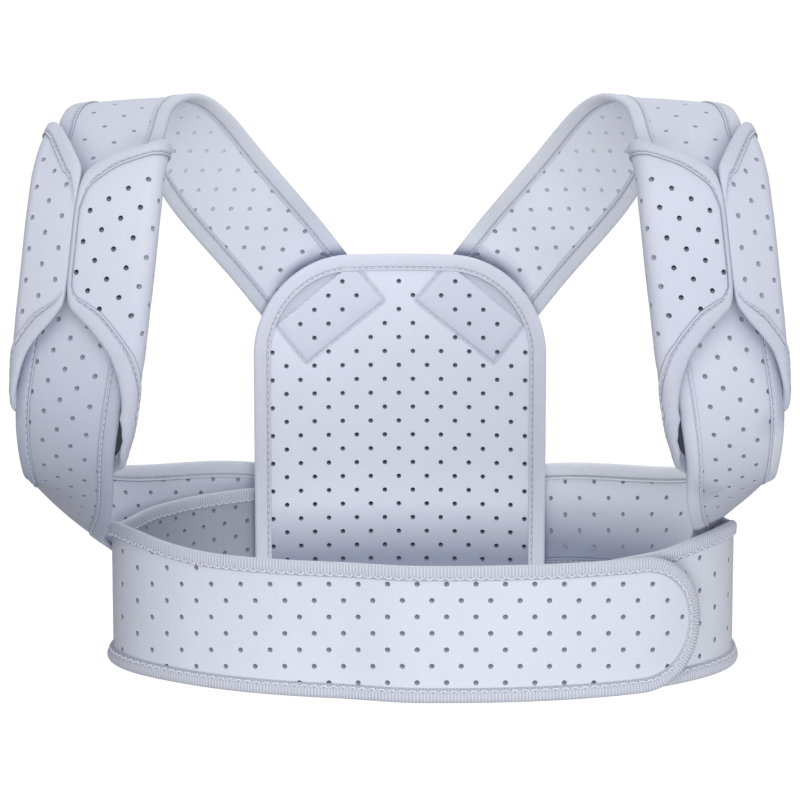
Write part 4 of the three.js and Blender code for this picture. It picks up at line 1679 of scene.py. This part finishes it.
class BRACE_OT_stage(bpy.types.Operator):
    """Make the floor, the lights and the camera"""
    bl_idname = "brace.make_stage"
    bl_label = "Stage"

    def execute(self, context):
        stage = context.scene.brace_stage
        level = CAD_BOX[0][2] - stage.drop
        corners = [(x * FLOOR_REACH, y * FLOOR_REACH, level) for x, y in SQUARE]
        mesh = bpy.data.meshes.new("floor")
        mesh.from_pydata(corners, [], [(0, 1, 2, 3)])
        mesh.materials.append(kept("floor", floor_finish, tuple(stage.floor)))
        floor = bpy.data.objects.new("floor", mesh)
        context.scene.collection.objects.link(floor)
        lights = (
            # name, watts, size, place
            ("key_light", stage.key, 1.2, (0.0, -1.6, 1.6)),
            ("side_light", stage.side, 1.2, (0.9, -2.0, 0.4)),
            ("fill_light", stage.fill, 1.2, (0.0, -1.9, -0.9)),
            ("top_light", stage.top, 1.6, (0.0, 0.2, 2.2)),
        )
        for name, watts, size, place in lights:
            data = bpy.data.lights.new(name, "AREA")
            data.energy = watts
            data.size = size
            lamp = bpy.data.objects.new(name, data)
            lamp.location = place
            aim = Vector(CAMERA_AIM) - Vector(place)
            lamp.rotation_euler = aim.to_track_quat("-Z", "Y").to_euler()
            context.scene.collection.objects.link(lamp)
        world = bpy.data.worlds.new("studio")
        world.use_nodes = True
        sky = world.node_tree.nodes["Background"]
        sky.inputs["Color"].default_value = (1.0, 1.0, 1.0, 1.0)
        sky.inputs["Strength"].default_value = stage.sky
        context.scene.world = world
        view = bpy.data.cameras.new("camera")
        view.lens = CAMERA_LENS
        view.sensor_width = CAMERA_SENSOR
        camera = bpy.data.objects.new("camera", view)
        back = Vector((0, -math.cos(CAMERA_LIFT), math.sin(CAMERA_LIFT))) * CAMERA_DISTANCE
        camera.location = Vector(CAMERA_AIM) + back
        camera.rotation_euler = (math.pi / 2 - CAMERA_LIFT, 0, 0)
        context.scene.collection.objects.link(camera)
        context.scene.camera = camera
        context.scene.view_settings.view_transform = "Standard"
        return {"FINISHED"}


class BRACE_PT_sidebar(bpy.types.Panel):
    """The brace's settings and pieces"""
    bl_idname = "BRACE_PT_sidebar"
    bl_label = "Clavicle brace"
    bl_space_type = "VIEW_3D"
    bl_region_type = "UI"
    bl_category = "Brace"

    def draw(self, context):
        for group_name in ("brace_cloth", "brace_tape", "brace_stage"):
            group = getattr(context.scene, group_name)
            box = self.layout.box()
            for key in group.__annotations__:
                box.prop(group, key)
        for operator in OPERATORS:
            self.layout.operator(operator.bl_idname)


GROUPS = (("brace_cloth", BraceCloth), ("brace_tape", BraceTape), ("brace_stage", BraceStage))
OPERATORS = (
    BRACE_OT_straps,
    BRACE_OT_shoulder_pads,
    BRACE_OT_back_panel,
    BRACE_OT_belt,
    BRACE_OT_hook_fastener,
    BRACE_OT_stage,
)


def register():
    for name, group in GROUPS:
        bpy.utils.register_class(group)
        setattr(bpy.types.Scene, name, PointerProperty(type=group))
    for operator in OPERATORS:
        bpy.utils.register_class(operator)
    bpy.utils.register_class(BRACE_PT_sidebar)


def unregister():
    bpy.utils.unregister_class(BRACE_PT_sidebar)
    for operator in reversed(OPERATORS):
        bpy.utils.unregister_class(operator)
    for name, group in reversed(GROUPS):
        delattr(bpy.types.Scene, name)
        bpy.utils.unregister_class(group)


def main():
    register()
    bpy.ops.brace.make_straps()
    bpy.ops.brace.make_shoulder_pads()
    bpy.ops.brace.make_back_panel()
    bpy.ops.brace.make_belt()
    bpy.ops.brace.make_hook_fastener()
    bpy.ops.brace.make_stage()


if __name__ == "__main__":
    main()
